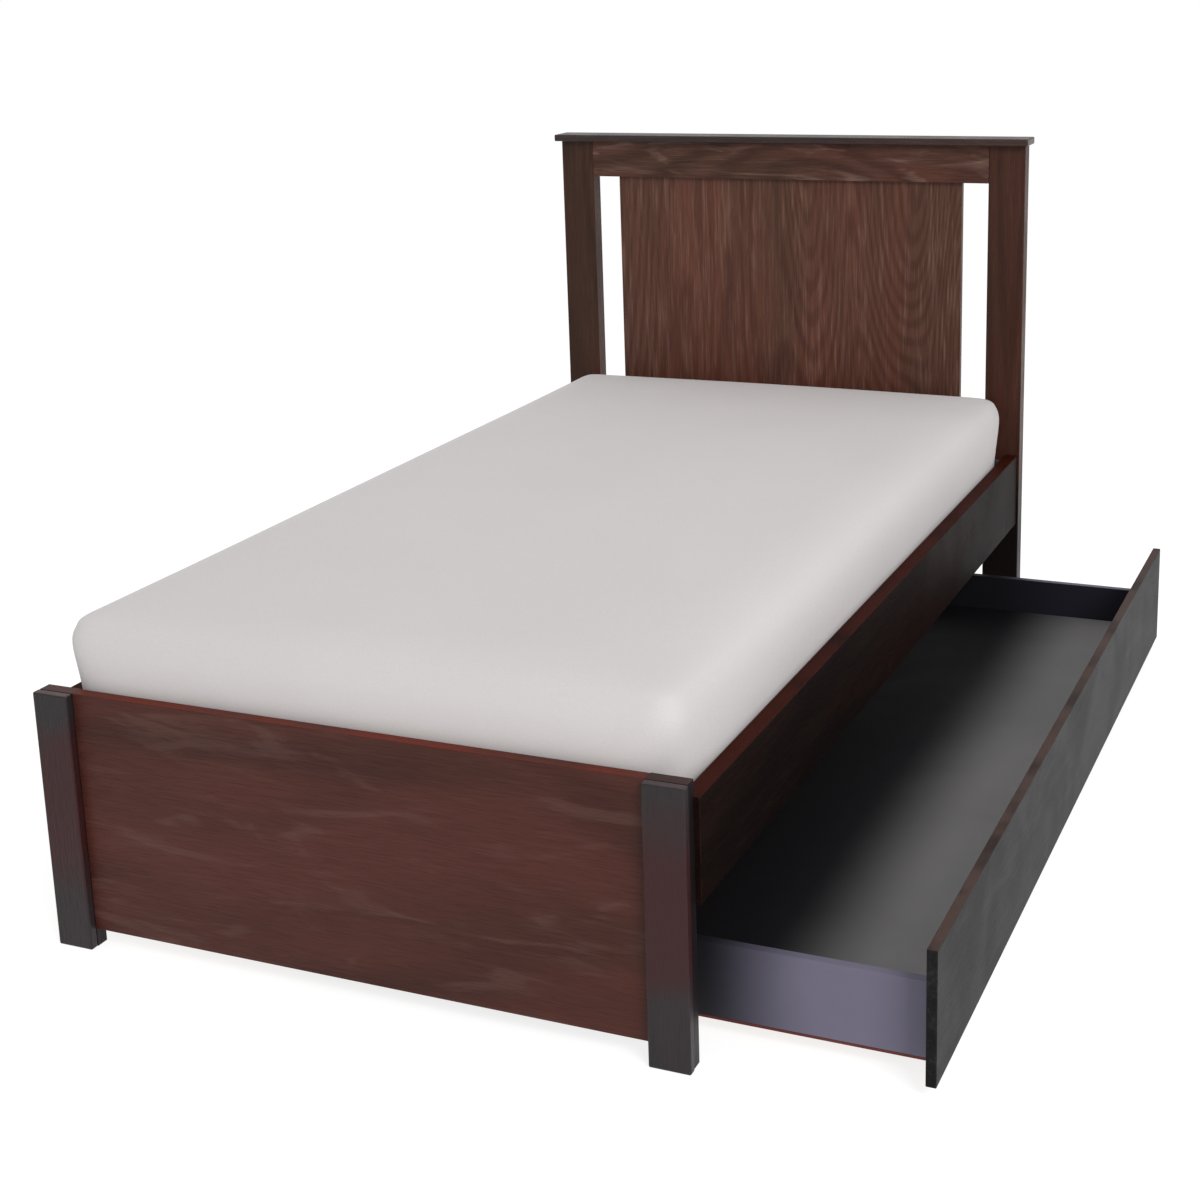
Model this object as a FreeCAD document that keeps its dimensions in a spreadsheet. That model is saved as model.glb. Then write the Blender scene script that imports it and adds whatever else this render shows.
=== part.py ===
import FreeCAD, Part
import Sketcher
import os
import re
from FreeCAD import Rotation, Vector

# Trundle bed: a slatted single bed frame with a wheeled drawer that rolls out from under its right side.
#
# Frame: X across the bed (the drawer opens towards +X), Y from foot to head, Z up.
# The origin is on the floor, in the middle of the whole outline with the drawer part way out.
# Before the origin is taken off, X = 0 is the outer side of the left foot post and Y = 0 its front.

# name, size in millimetres, what it is
SIZES = [
    ("bed_width", 1060, "outer width across the two foot posts"),
    ("inner_length", 1903, "clear length from footboard to headboard"),
    ("foot_height", 418, "height of the foot posts and the top of the footboard"),
    ("batten_width", 63, "width of the front face of a foot post"),
    ("batten_thickness", 15, "depth of the board on the front of a foot post"),
    ("batten_rounding", 3, "radius on the edges of that board"),
    ("joint_rounding", 1, "small radius on boards that meet edge to edge"),
    ("block_thickness", 22, "depth of the block behind it"),
    ("block_setback", 2, "how far the block's outer side stands in from the board's"),
    ("foot_panel_thickness", 20, "thickness of the footboard panel"),
    ("foot_panel_lift", 30, "gap under the footboard panel"),
    ("rail_thickness", 27, "thickness of a side rail"),
    ("rail_height", 155, "height of a side rail"),
    ("rail_drop", 26, "how far a side rail's top is below the foot posts"),
    ("rail_proud", 6, "how far a side rail stands out past the foot posts"),
    ("rail_rounding", 2, "radius on a side rail's long edges"),
    ("ledger_thickness", 25, "thickness of the strip that carries the slats"),
    ("ledger_height", 30, "height of that strip"),
    ("ledger_rise", 3, "how far the strip is above the rail's lower edge"),
    ("ledger_end_gap", 5, "gap at each end of the strip"),
    ("slat_width", 70, "width of a slat"),
    ("slat_thickness", 18, "thickness of a slat"),
    ("slat_end_gap", 2, "gap between a slat's end and the rail"),
    ("slat_margin", 30, "gap between the last slat and the end of the bed"),
    ("slat_rounding", 3, "radius on a slat's long edges"),
    ("stile_width", 78, "width of a headboard stile"),
    ("stile_thickness", 38, "thickness of a headboard stile"),
    ("stile_height", 1065, "height of the stiles, up to the cap"),
    ("stile_proud", 10, "how far a stile stands out past the foot posts"),
    ("stile_rounding", 2, "radius on a stile's long edges"),
    ("top_rail_height", 81, "height of the headboard's top rail"),
    ("low_rail_height", 100, "height of the headboard's lower rail"),
    ("low_rail_lift", 280, "height of the lower rail's underside"),
    ("head_panel_thickness", 16, "thickness of the headboard's middle panel"),
    ("head_panel_recess", 12, "how far the middle panel is set back from the stiles"),
    ("head_panel_tongue", 10, "how far the middle panel goes into each rail"),
    ("slot_width", 60, "open slot between a stile and the middle panel"),
    ("cap_thickness", 15, "thickness of the headboard's cap"),
    ("cap_side", 9, "how far the cap overhangs at each side"),
    ("cap_front", 21, "how far the cap overhangs in front"),
    ("cap_back", 8, "how far the cap overhangs behind"),
    ("cap_rounding", 3, "radius on the cap's edges"),
    ("angle_leg", 38, "leg of the steel corner angle"),
    ("angle_gauge", 3, "thickness of the steel corner angle"),
    ("angle_height", 80, "height of the steel corner angle"),
    ("angle_lift", 12, "gap between the slats and the corner angle"),
    ("mattress_height", 232, "thickness of the mattress"),
    ("mattress_side_gap", 9, "gap between mattress and side rail"),
    ("mattress_end_gap", 4, "gap at each end of the mattress"),
    ("mattress_lift", 1, "gap between mattress and slats"),
    ("mattress_rounding", 42, "radius on the mattress's edges"),
    ("drawer_open", 318, "how far the drawer stands out past the side rail"),
    ("drawer_foot_gap", 17, "gap between the drawer front and the foot post"),
    ("drawer_head_gap", 36, "gap between the drawer front and the headboard"),
    ("drawer_back_gap", 77, "gap between the shut drawer's back and the far rail"),
    ("front_thickness", 15, "thickness of the drawer front"),
    ("front_height", 199, "height of the drawer front"),
    ("front_lift", 21, "gap under the drawer front"),
    ("front_rounding", 1.5, "radius on the drawer front's edges"),
    ("wall_thickness", 15, "thickness of the drawer's walls"),
    ("wall_height", 114, "height of the drawer's walls"),
    ("wall_lift", 29, "height of the walls' lower edge"),
    ("wall_inset", 55, "how far an end wall is from the end of the drawer front"),
    ("wall_rounding", 1, "radius on the long edges of the drawer's walls"),
    ("lipping_thickness", 4, "hardwood strip under an end wall"),
    ("tray_thickness", 9, "thickness of the drawer's floor"),
    ("cleat_width", 20, "square strip under the front and back edge of that floor"),
    ("bearer_width", 80, "width of a cross bearer under that floor"),
    ("bearer_thickness", 12, "thickness of a cross bearer"),
    ("wheel_radius", 20, "radius of a wheel"),
    ("wheel_width", 16, "width of a wheel"),
    ("wheel_rounding", 2, "radius on a wheel's tread edges"),
    ("wheel_dish", 3, "depth of the dished sides of a wheel"),
    ("hub_radius", 8, "radius of a wheel's hub"),
    ("rim_thickness", 5, "thickness of a wheel's rim"),
    ("axle_radius", 3, "radius of a wheel's axle"),
    ("axle_clearance", 0.05, "radial clearance between wheel and axle"),
    ("axle_head", 1.5, "how far an axle's ends stand out of its fork"),
    ("fork_gauge", 2, "sheet thickness of a wheel's fork"),
    ("fork_side_gap", 1.5, "gap between wheel and fork"),
    ("fork_top_gap", 7, "gap between the wheel's top and the fork's plate"),
    ("fork_length", 34, "length of the fork along the way it rolls"),
    ("fork_flange", 15, "flange at each side of the fork's plate"),
    ("fork_reach", 7, "how far the fork reaches below the axle"),
    ("caster_inset", 45, "distance from a cleat to the wheel's middle"),
    ("screw_radius", 2, "radius of the wood screws"),
    ("screw_head_radius", 4, "radius of their countersunk heads"),
    ("screw_head_height", 2, "height of their countersunk heads"),
    ("long_screw", 34, "length of the slat and ledger screws"),
    ("short_screw", 12, "length of the angle and fork screws"),
    ("dowel_radius", 4, "radius of the bed's dowels"),
    ("dowel_length", 40, "length of the bed's dowels"),
    ("small_dowel_radius", 3, "radius of the drawer's dowels"),
    ("small_dowel_length", 30, "length of the drawer's dowels"),
    ("small_dowel_bite", 10, "how far they go into the drawer's front and back"),
]
SLATS = 13
LEDGER_SCREWS = 6

doc = FreeCAD.newDocument("TrundleBed")
dims = doc.addObject("Spreadsheet::Sheet", "dims")
for row, (name, size, note) in enumerate(SIZES, start=1):
    dims.set(f"A{row}", name.replace("_", " "))
    dims.set(f"B{row}", str(size))
    dims.setAlias(f"B{row}", name)
    dims.set(f"C{row}", note)
doc.recompute()

NAMES = {name for name, _, _ in SIZES}
PIECES = []


def formula(text):
    """Turn plain size names into references to the sheet's cells."""
    return re.sub(r"[a-z_]+", lambda word: "dims." + word[0] if word[0] in NAMES else word[0], text)


def bind(item, prop, text):
    item.setExpression(prop, formula(text))


# Planes and lines that several pieces share, as formulas of the sizes.
INNER_FOOT = "(batten_thickness + block_thickness)"
INNER_HEAD = f"({INNER_FOOT} + inner_length)"
RAIL_TOP = "(foot_height - rail_drop)"
RAIL_LOW = f"({RAIL_TOP} - rail_height)"
LEFT_RAIL_OUTER = "(0 - rail_proud)"
LEFT_RAIL_INNER = "(rail_thickness - rail_proud)"
RIGHT_RAIL_OUTER = "(bed_width + rail_proud)"
RIGHT_RAIL_INNER = f"({RIGHT_RAIL_OUTER} - rail_thickness)"
LEDGER_TOP = f"({RAIL_LOW} + ledger_rise + ledger_height)"
SLAT_TOP = f"({LEDGER_TOP} + slat_thickness)"
LEFT_STILE_INNER = "(stile_width - stile_proud)"
RIGHT_STILE_INNER = "(bed_width + stile_proud - stile_width)"
TOP_RAIL_LOW = "(stile_height - top_rail_height)"
LOW_RAIL_TOP = "(low_rail_lift + low_rail_height)"
PANEL_FRONT = f"({INNER_HEAD} + head_panel_recess)"
PANEL_LEFT = f"({LEFT_STILE_INNER} + slot_width)"
PANEL_WIDTH = f"({RIGHT_STILE_INNER} - {LEFT_STILE_INNER} - 2 * slot_width)"

FRONT_OUTER = f"({RIGHT_RAIL_OUTER} + drawer_open)"
FRONT_INNER = f"({FRONT_OUTER} - front_thickness)"
FRONT_START = f"({INNER_FOOT} + drawer_foot_gap)"
FRONT_LENGTH = "(inner_length - drawer_foot_gap - drawer_head_gap)"
BOX_DEPTH = f"({RIGHT_RAIL_OUTER} - front_thickness - {LEFT_RAIL_INNER} - drawer_back_gap)"
BACK_OUTER = f"({FRONT_INNER} - {BOX_DEPTH})"
BACK_INNER = f"({BACK_OUTER} + wall_thickness)"
FOOT_WALL = f"({FRONT_START} + wall_inset)"
HEAD_WALL = f"({FRONT_START} + {FRONT_LENGTH} - wall_inset - wall_thickness)"
TRAY_START = f"({FOOT_WALL} + wall_thickness)"
TRAY_LENGTH = f"({HEAD_WALL} - {TRAY_START})"
TRAY_DEPTH = f"({FRONT_INNER} - {BACK_INNER})"
BEARER_LOW = "(2 * wheel_radius + fork_top_gap + fork_gauge)"
TRAY_LOW = f"({BEARER_LOW} + bearer_thickness)"
FORK_WIDTH = "(wheel_width + 2 * fork_side_gap + 2 * fork_gauge)"

OUTLINE_LEFT = "(0 - stile_proud - cap_side)"
OUTLINE_BACK = f"({INNER_HEAD} + stile_thickness + cap_back)"
ORIGIN_X = f"(({OUTLINE_LEFT} + {FRONT_OUTER}) / 2)"
ORIGIN_Y = f"({OUTLINE_BACK} / 2)"


def place(item, x, y, z, turn=None):
    """Put an object's own origin at x, y, z, measured from the left foot post."""
    if turn:
        item.Placement = FreeCAD.Placement(Vector(), turn)
    bind(item, "Placement.Base.x", f"{x} - {ORIGIN_X}")
    bind(item, "Placement.Base.y", f"{y} - {ORIGIN_Y}")
    bind(item, "Placement.Base.z", z)


def keep(item, node):
    """Mark an object as one of the bed's pieces."""
    item.Label = node
    PIECES.append(item)
    return item


def plane_of(body, role):
    return next(item for item in body.Origin.OriginFeatures if item.Role == role)


def rectangle(body, name, width, height, left="0", low="0"):
    """A sketch of one rectangle on the body's XY plane, its sides and place bound to the sheet."""
    sketch = body.newObject("Sketcher::SketchObject", name)
    sketch.AttachmentSupport = (plane_of(body, "XY_Plane"), [""])
    sketch.MapMode = "FlatFace"
    corners = [Vector(0, 0, 0), Vector(10, 0, 0), Vector(10, 10, 0), Vector(0, 10, 0)]
    for start, end in zip(corners, corners[1:] + corners[:1]):
        sketch.addGeometry(Part.LineSegment(start, end), False)
    for side in range(4):
        sketch.addConstraint(Sketcher.Constraint("Coincident", side, 2, (side + 1) % 4, 1))
    for side, lie in enumerate(("Horizontal", "Vertical", "Horizontal", "Vertical")):
        sketch.addConstraint(Sketcher.Constraint(lie, side))
    sketch.addConstraint(Sketcher.Constraint("Coincident", 0, 1, -1, 1))
    width_of = sketch.addConstraint(Sketcher.Constraint("DistanceX", 0, 1, 0, 2, 10))
    height_of = sketch.addConstraint(Sketcher.Constraint("DistanceY", 1, 1, 1, 2, 10))
    sketch.renameConstraint(width_of, "width")
    sketch.renameConstraint(height_of, "height")
    bind(sketch, "Constraints.width", width)
    bind(sketch, "Constraints.height", height)
    bind(sketch, "AttachmentOffset.Base.x", left)
    bind(sketch, "AttachmentOffset.Base.y", low)
    return sketch


def edges_along(shape, axis):
    """Names of the straight edges that run along one axis."""
    names = []
    for number, edge in enumerate(shape.Edges, start=1):
        if len(edge.Vertexes) != 2:
            continue
        run = edge.Vertexes[1].Point - edge.Vertexes[0].Point
        if abs(run.dot(axis)) > 0.999 * run.Length:
            names.append(f"Edge{number}")
    return names


def board(node, size, at, rounding=None, along=(), finished=True):
    """A sawn board: a sketched rectangle, padded, with its edges along the given axes rounded."""
    body = doc.addObject("PartDesign::Body", node)
    sketch = rectangle(body, node + "_outline", size[0], size[1])
    pad = body.newObject("PartDesign::Pad", node + "_pad")
    pad.Profile = sketch
    bind(pad, "Length", size[2])
    if rounding:
        doc.recompute()
        fillet = body.newObject("PartDesign::Fillet", node + "_rounding")
        fillet.Base = (pad, [name for axis in along for name in edges_along(pad.Shape, axis)])
        bind(fillet, "Radius", rounding)
    place(body, *at)
    if finished:
        keep(body, node)
    return body


def groove(body, name, size, at):
    """A box cut out of a board, measured from the board's own corner."""
    doc.recompute()
    cut = body.newObject("PartDesign::SubtractiveBox", name)
    for prop, text in zip(("Length", "Width", "Height"), size):
        bind(cut, prop, text)
    for axis, text in zip("xyz", at):
        bind(cut, f"Placement.Base.{axis}", text)
    return cut


def drilled(blank, node, fasteners):
    """The piece with a hole for every fastener that passes through it."""
    blank.Label = node + "_blank"
    piece = blank
    for number, group in enumerate(fasteners):
        cut = doc.addObject("Part::Cut", f"{node}_drilled_{number}")
        cut.Base = piece
        cut.Tool = group
        piece = cut
    return keep(piece, node)


def group_of(node, items):
    """Identical small pieces, kept together as separate solids."""
    group = doc.addObject("Part::Compound", node)
    group.Links = items
    return keep(group, node)


X, Y, Z = Vector(1, 0, 0), Vector(0, 1, 0), Vector(0, 0, 1)
TO_X = Rotation(Z, X)
TO_MINUS_X = Rotation(Z, X * -1)
TO_Y = Rotation(Z, Y)
TO_MINUS_Y = Rotation(Z, Y * -1)
TO_MINUS_Z = Rotation(X, 180)


def screw(name, length, at, head_faces=None):
    """A countersunk wood screw. Its head's flat top is at the given place and faces the given way."""
    shank = doc.addObject("Part::Cylinder", name + "_shank")
    bind(shank, "Radius", "screw_radius")
    bind(shank, "Height", f"{length} - screw_head_height")
    bind(shank, "Placement.Base.z", f"0 - {length}")
    head = doc.addObject("Part::Cone", name + "_head")
    bind(head, "Radius1", "screw_radius")
    bind(head, "Radius2", "screw_head_radius")
    bind(head, "Height", "screw_head_height")
    bind(head, "Placement.Base.z", "0 - screw_head_height")
    whole = doc.addObject("Part::Fuse", name)
    whole.Base = shank
    whole.Tool = head
    place(whole, *at, turn=head_faces)
    return whole


def dowel(name, radius, length, at, turn):
    pin = doc.addObject("Part::Cylinder", name)
    bind(pin, "Radius", radius)
    bind(pin, "Height", length)
    place(pin, *at, turn=turn)
    return pin


def make_bed_fasteners():
    """Dowels in the two end frames, screws in the slats and ledgers, screws in the corner angles."""
    dowels = []
    bite = "dowel_length / 2"
    frame_middle = f"{INNER_HEAD} + stile_thickness / 2"
    sides = {
        "left": (LEFT_STILE_INNER, "batten_width"),
        "right": (RIGHT_STILE_INNER, "bed_width - batten_width"),
    }
    cross_rails = {
        "top": (TOP_RAIL_LOW, "top_rail_height"),
        "low": ("low_rail_lift", "low_rail_height"),
    }
    for side, (stile_edge, block_edge) in sides.items():
        for rail, (low, tall) in cross_rails.items():
            for share in (1, 3):
                at = (f"{stile_edge} - {bite}", frame_middle, f"{low} + {tall} * {share} / 4")
                dowels.append(dowel(f"dowel_{rail}_{side}_{share}", "dowel_radius", "dowel_length", at, TO_X))
        for share in (1, 3, 5):
            height = f"foot_panel_lift + (foot_height - foot_panel_lift) * {share} / 6"
            at = (f"{block_edge} - {bite}", "batten_thickness + foot_panel_thickness / 2", height)
            dowels.append(dowel(f"dowel_foot_{side}_{share}", "dowel_radius", "dowel_length", at, TO_X))

    long_screws = []
    for number in range(SLATS):
        middle = f"{slat_start(number)} + slat_width / 2"
        left = f"{LEFT_RAIL_INNER} + (ledger_thickness + slat_end_gap) / 2"
        right = f"{RIGHT_RAIL_INNER} - (ledger_thickness + slat_end_gap) / 2"
        for side, x in (("left", left), ("right", right)):
            long_screws.append(screw(f"slat_screw_{side}_{number}", "long_screw", (x, middle, SLAT_TOP)))
    height = f"{RAIL_LOW} + ledger_rise + ledger_height / 4"
    for number in range(LEDGER_SCREWS):
        along = f"{INNER_FOOT} + inner_length * {2 * number + 1} / {2 * LEDGER_SCREWS}"
        left = (f"{LEFT_RAIL_INNER} + ledger_thickness", along, height)
        right = (f"{RIGHT_RAIL_INNER} - ledger_thickness", along, height)
        long_screws.append(screw(f"ledger_screw_left_{number}", "long_screw", left, TO_X))
        long_screws.append(screw(f"ledger_screw_right_{number}", "long_screw", right, TO_MINUS_X))

    short_screws = []
    for corner, (x, y, into_x, into_y) in CORNERS.items():
        for share in (1, 3):
            height = f"{SLAT_TOP} + angle_lift + angle_height * {share} / 4"
            leg = "(angle_leg + angle_gauge) / 2"
            on_rail = (f"{x} + {into_x} * angle_gauge", f"{y} + {into_y} * {leg}", height)
            on_end = (f"{x} + {into_x} * {leg}", f"{y} + {into_y} * angle_gauge", height)
            rail_turn = TO_X if into_x > 0 else TO_MINUS_X
            end_turn = TO_Y if into_y > 0 else TO_MINUS_Y
            short_screws.append(screw(f"{corner}_rail_screw_{share}", "short_screw", on_rail, rail_turn))
            short_screws.append(screw(f"{corner}_end_screw_{share}", "short_screw", on_end, end_turn))
    return (group_of("bed_dowels", dowels), group_of("slat_and_ledger_screws", long_screws),
            group_of("corner_angle_screws", short_screws))


# Inner corners of the bed: place of the corner, and which way each leg of its angle runs.
CORNERS = {
    "foot_left": (LEFT_RAIL_INNER, INNER_FOOT, 1, 1),
    "foot_right": (RIGHT_RAIL_INNER, INNER_FOOT, -1, 1),
    "head_left": (LEFT_RAIL_INNER, INNER_HEAD, 1, -1),
    "head_right": (RIGHT_RAIL_INNER, INNER_HEAD, -1, -1),
}


def slat_start(number):
    pitch = f"((inner_length - 2 * slat_margin - slat_width) / {SLATS - 1})"
    return f"({INNER_FOOT} + slat_margin + {number} * {pitch})"


def make_footboard(dowels, angle_screws):
    """Two posts, each a front board on a deeper block, with a panel held between the blocks."""
    for side, x in (("left", "0"), ("right", "bed_width - batten_width")):
        size = ("batten_width", "batten_thickness", "foot_height")
        board(f"foot_post_face_{side}", size, (x, "0", "0"), "batten_rounding", (X, Y, Z))
    width = "batten_width - block_setback"
    for side, x in (("left", "block_setback"), ("right", "bed_width - batten_width")):
        size = (width, "block_thickness", "foot_height")
        node = f"foot_post_block_{side}"
        blank = board(node, size, (x, "batten_thickness", "0"), "joint_rounding", (X, Y, Z), finished=False)
        drilled(blank, node, (dowels, angle_screws))
    size = ("bed_width - 2 * batten_width", "foot_panel_thickness", "foot_height - foot_panel_lift")
    at = ("batten_width", "batten_thickness", "foot_panel_lift")
    blank = board("footboard_panel", size, at, "joint_rounding", (X,), finished=False)
    drilled(blank, "footboard_panel", (dowels,))


def make_headboard(dowels, angle_screws):
    """Two stiles, two rails and a cap, with a middle panel that leaves a slot at each side."""
    for side, x in (("left", "0 - stile_proud"), ("right", RIGHT_STILE_INNER)):
        size = ("stile_width", "stile_thickness", "stile_height")
        node = f"headboard_stile_{side}"
        blank = board(node, size, (x, INNER_HEAD, "0"), "stile_rounding", (Z,), finished=False)
        drilled(blank, node, (dowels, angle_screws))
    width = f"{RIGHT_STILE_INNER} - {LEFT_STILE_INNER}"
    for node, low, tall, seat in (
        ("headboard_top_rail", TOP_RAIL_LOW, "top_rail_height", "0"),
        ("headboard_low_rail", "low_rail_lift", "low_rail_height", "low_rail_height - head_panel_tongue"),
    ):
        size = (width, "stile_thickness", tall)
        at = (LEFT_STILE_INNER, INNER_HEAD, low)
        blank = board(node, size, at, "joint_rounding", (X, Z), finished=False)
        size = (PANEL_WIDTH, "head_panel_thickness", "head_panel_tongue")
        groove(blank, node + "_groove", size, ("slot_width", "head_panel_recess", seat))
        drilled(blank, node, (dowels,))
    height = f"{TOP_RAIL_LOW} - {LOW_RAIL_TOP} + 2 * head_panel_tongue"
    at = (PANEL_LEFT, PANEL_FRONT, f"{LOW_RAIL_TOP} - head_panel_tongue")
    board("headboard_panel", (PANEL_WIDTH, "head_panel_thickness", height), at, "joint_rounding", (Z,))
    width = "bed_width + 2 * stile_proud + 2 * cap_side"
    size = (width, "stile_thickness + cap_front + cap_back", "cap_thickness")
    at = (OUTLINE_LEFT, f"{INNER_HEAD} - cap_front", "stile_height")
    board("headboard_cap", size, at, "cap_rounding", (X, Y, Z))


def make_side_rails(long_screws, angle_screws):
    """Side rails, and on their inner faces the ledgers that carry the slats."""
    ledger_start = f"{INNER_FOOT} + ledger_end_gap"
    ledger_low = f"{RAIL_LOW} + ledger_rise"
    for side, rail_x, ledger_x in (
        ("left", LEFT_RAIL_OUTER, LEFT_RAIL_INNER),
        ("right", RIGHT_RAIL_INNER, f"{RIGHT_RAIL_INNER} - ledger_thickness"),
    ):
        node = f"side_rail_{side}"
        size = ("rail_thickness", "inner_length", "rail_height")
        blank = board(node, size, (rail_x, INNER_FOOT, RAIL_LOW), "rail_rounding", (Y,), finished=False)
        drilled(blank, node, (long_screws, angle_screws))
        node = f"slat_ledger_{side}"
        size = ("ledger_thickness", "inner_length - 2 * ledger_end_gap", "ledger_height")
        blank = board(node, size, (ledger_x, ledger_start, ledger_low), finished=False)
        drilled(blank, node, (long_screws,))


def make_slats(long_screws):
    for number in range(SLATS):
        node = f"slat_{number + 1:02d}"
        size = (f"{RIGHT_RAIL_INNER} - {LEFT_RAIL_INNER} - 2 * slat_end_gap", "slat_width", "slat_thickness")
        at = (f"{LEFT_RAIL_INNER} + slat_end_gap", slat_start(number), LEDGER_TOP)
        blank = board(node, size, at, "slat_rounding", (X,), finished=False)
        drilled(blank, node, (long_screws,))


def make_corner_angles(angle_screws):
    """Steel angles that join each side rail to the end frames, just above the slats."""
    for corner, (x, y, into_x, into_y) in CORNERS.items():
        node = f"corner_angle_{corner}"
        size = ("angle_leg", "angle_leg", "angle_height")
        low_x = x if into_x > 0 else f"{x} - angle_leg"
        low_y = y if into_y > 0 else f"{y} - angle_leg"
        blank = board(node, size, (low_x, low_y, f"{SLAT_TOP} + angle_lift"), finished=False)
        inside = "angle_leg - angle_gauge"
        cut_at = ("angle_gauge" if into_x > 0 else "0", "angle_gauge" if into_y > 0 else "0", "0")
        groove(blank, node + "_inside", (inside, inside, "angle_height"), cut_at)
        drilled(blank, node, (angle_screws,))


def make_mattress():
    width = f"{RIGHT_RAIL_INNER} - {LEFT_RAIL_INNER} - 2 * mattress_side_gap"
    size = (width, "inner_length - 2 * mattress_end_gap", "mattress_height")
    left = f"{LEFT_RAIL_INNER} + mattress_side_gap"
    at = (left, f"{INNER_FOOT} + mattress_end_gap", f"{SLAT_TOP} + mattress_lift")
    board("mattress", size, at, "mattress_rounding", (X, Y, Z))


# Each wheel's place: X of its axle's middle, Y of its middle.
BACK_WHEELS = f"({BACK_INNER} + cleat_width + caster_inset)"
FRONT_WHEELS = f"({FRONT_INNER} - cleat_width - caster_inset)"
FOOT_WHEELS = f"({TRAY_START} + bearer_width / 2)"
HEAD_WHEELS = f"({HEAD_WALL} - bearer_width / 2)"
CASTERS = {
    "foot_back": (BACK_WHEELS, FOOT_WHEELS),
    "foot_front": (FRONT_WHEELS, FOOT_WHEELS),
    "head_back": (BACK_WHEELS, HEAD_WHEELS),
    "head_front": (FRONT_WHEELS, HEAD_WHEELS),
}


def make_drawer_fasteners():
    """Dowels at the drawer's corners and screws that hold the wheels' forks under the bearers."""
    dowels = []
    for end, wall in (("foot", FOOT_WALL), ("head", HEAD_WALL)):
        for share in (1, 3):
            height = f"wall_lift + wall_height * {share} / 4"
            middle = f"{wall} + wall_thickness / 2"
            front = (f"{FRONT_INNER} - small_dowel_length + small_dowel_bite", middle, height)
            back = (f"{BACK_INNER} - small_dowel_bite", middle, height)
            sizes = ("small_dowel_radius", "small_dowel_length")
            dowels.append(dowel(f"dowel_{end}_front_{share}", *sizes, front, TO_X))
            dowels.append(dowel(f"dowel_{end}_back_{share}", *sizes, back, TO_X))
    screws = []
    for caster, (x, y) in CASTERS.items():
        for side in (-1, 1):
            for end in (-1, 1):
                at = (f"{x} + {end} * fork_length / 4", f"{y} + {side} * ({FORK_WIDTH} + fork_flange) / 2",
                      f"{BEARER_LOW} - fork_gauge")
                name = f"{caster}_screw_{side + 1}{end + 1}"
                screws.append(screw(name, "short_screw", at, TO_MINUS_Z))
    return group_of("drawer_dowels", dowels), group_of("caster_screws", screws)


def make_drawer(dowels, caster_screws):
    """The drawer: a tall front, three lower walls, a floor on cleats and bearers."""
    size = ("front_thickness", FRONT_LENGTH, "front_height")
    at = (FRONT_INNER, FRONT_START, "front_lift")
    blank = board("drawer_front", size, at, "front_rounding", (X, Y, Z), finished=False)
    drilled(blank, "drawer_front", (dowels,))
    size = ("wall_thickness", f"{HEAD_WALL} + wall_thickness - {FOOT_WALL}", "wall_height")
    at = (BACK_OUTER, FOOT_WALL, "wall_lift")
    blank = board("drawer_back", size, at, "wall_rounding", (Y,), finished=False)
    drilled(blank, "drawer_back", (dowels,))
    for end, wall in (("foot", FOOT_WALL), ("head", HEAD_WALL)):
        node = f"drawer_{end}_wall"
        size = (TRAY_DEPTH, "wall_thickness", "wall_height")
        blank = board(node, size, (BACK_INNER, wall, "wall_lift"), "wall_rounding", (X,), finished=False)
        drilled(blank, node, (dowels,))
        size = (TRAY_DEPTH, "wall_thickness", "lipping_thickness")
        board(f"{node}_lipping", size, (BACK_INNER, wall, "wall_lift - lipping_thickness"))
    board("drawer_floor", (TRAY_DEPTH, TRAY_LENGTH, "tray_thickness"), (BACK_INNER, TRAY_START, TRAY_LOW))
    for edge, x in (("back", BACK_INNER), ("front", f"{FRONT_INNER} - cleat_width")):
        size = ("cleat_width", TRAY_LENGTH, "cleat_width")
        board(f"drawer_{edge}_cleat", size, (x, TRAY_START, f"{TRAY_LOW} - cleat_width"))
    middle = f"{TRAY_START} + ({TRAY_LENGTH} - bearer_width) / 2"
    for name, y in (("foot", TRAY_START), ("middle", middle), ("head", f"{HEAD_WALL} - bearer_width")):
        node = f"drawer_{name}_bearer"
        size = (f"{TRAY_DEPTH} - 2 * cleat_width", "bearer_width", "bearer_thickness")
        blank = board(node, size, (f"{BACK_INNER} + cleat_width", y, BEARER_LOW), finished=False)
        drilled(blank, node, (caster_screws,))


def make_fork(caster, x, y, caster_screws, axles):
    """A folded steel fork: a flanged plate under the bearer and a cheek at each side of the wheel."""
    node = f"fork_{caster}"
    width = f"({FORK_WIDTH} + 2 * fork_flange)"
    height = f"({BEARER_LOW} - wheel_radius + fork_reach)"
    at = (f"{x} - fork_length / 2", f"{y} - {width} / 2", f"{BEARER_LOW} - {height}")
    blank = board(node, ("fork_length", width, height), at, finished=False)
    below = f"{height} - fork_gauge"
    for side, start in (("low", "0"), ("high", f"fork_flange + {FORK_WIDTH}")):
        groove(blank, f"{node}_{side}_side", ("fork_length", "fork_flange", below), ("0", start, "0"))
    well = ("fork_length", "wheel_width + 2 * fork_side_gap", below)
    groove(blank, f"{node}_well", well, ("0", "fork_flange + fork_gauge", "0"))
    drilled(blank, node, (caster_screws, axles))


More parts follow.
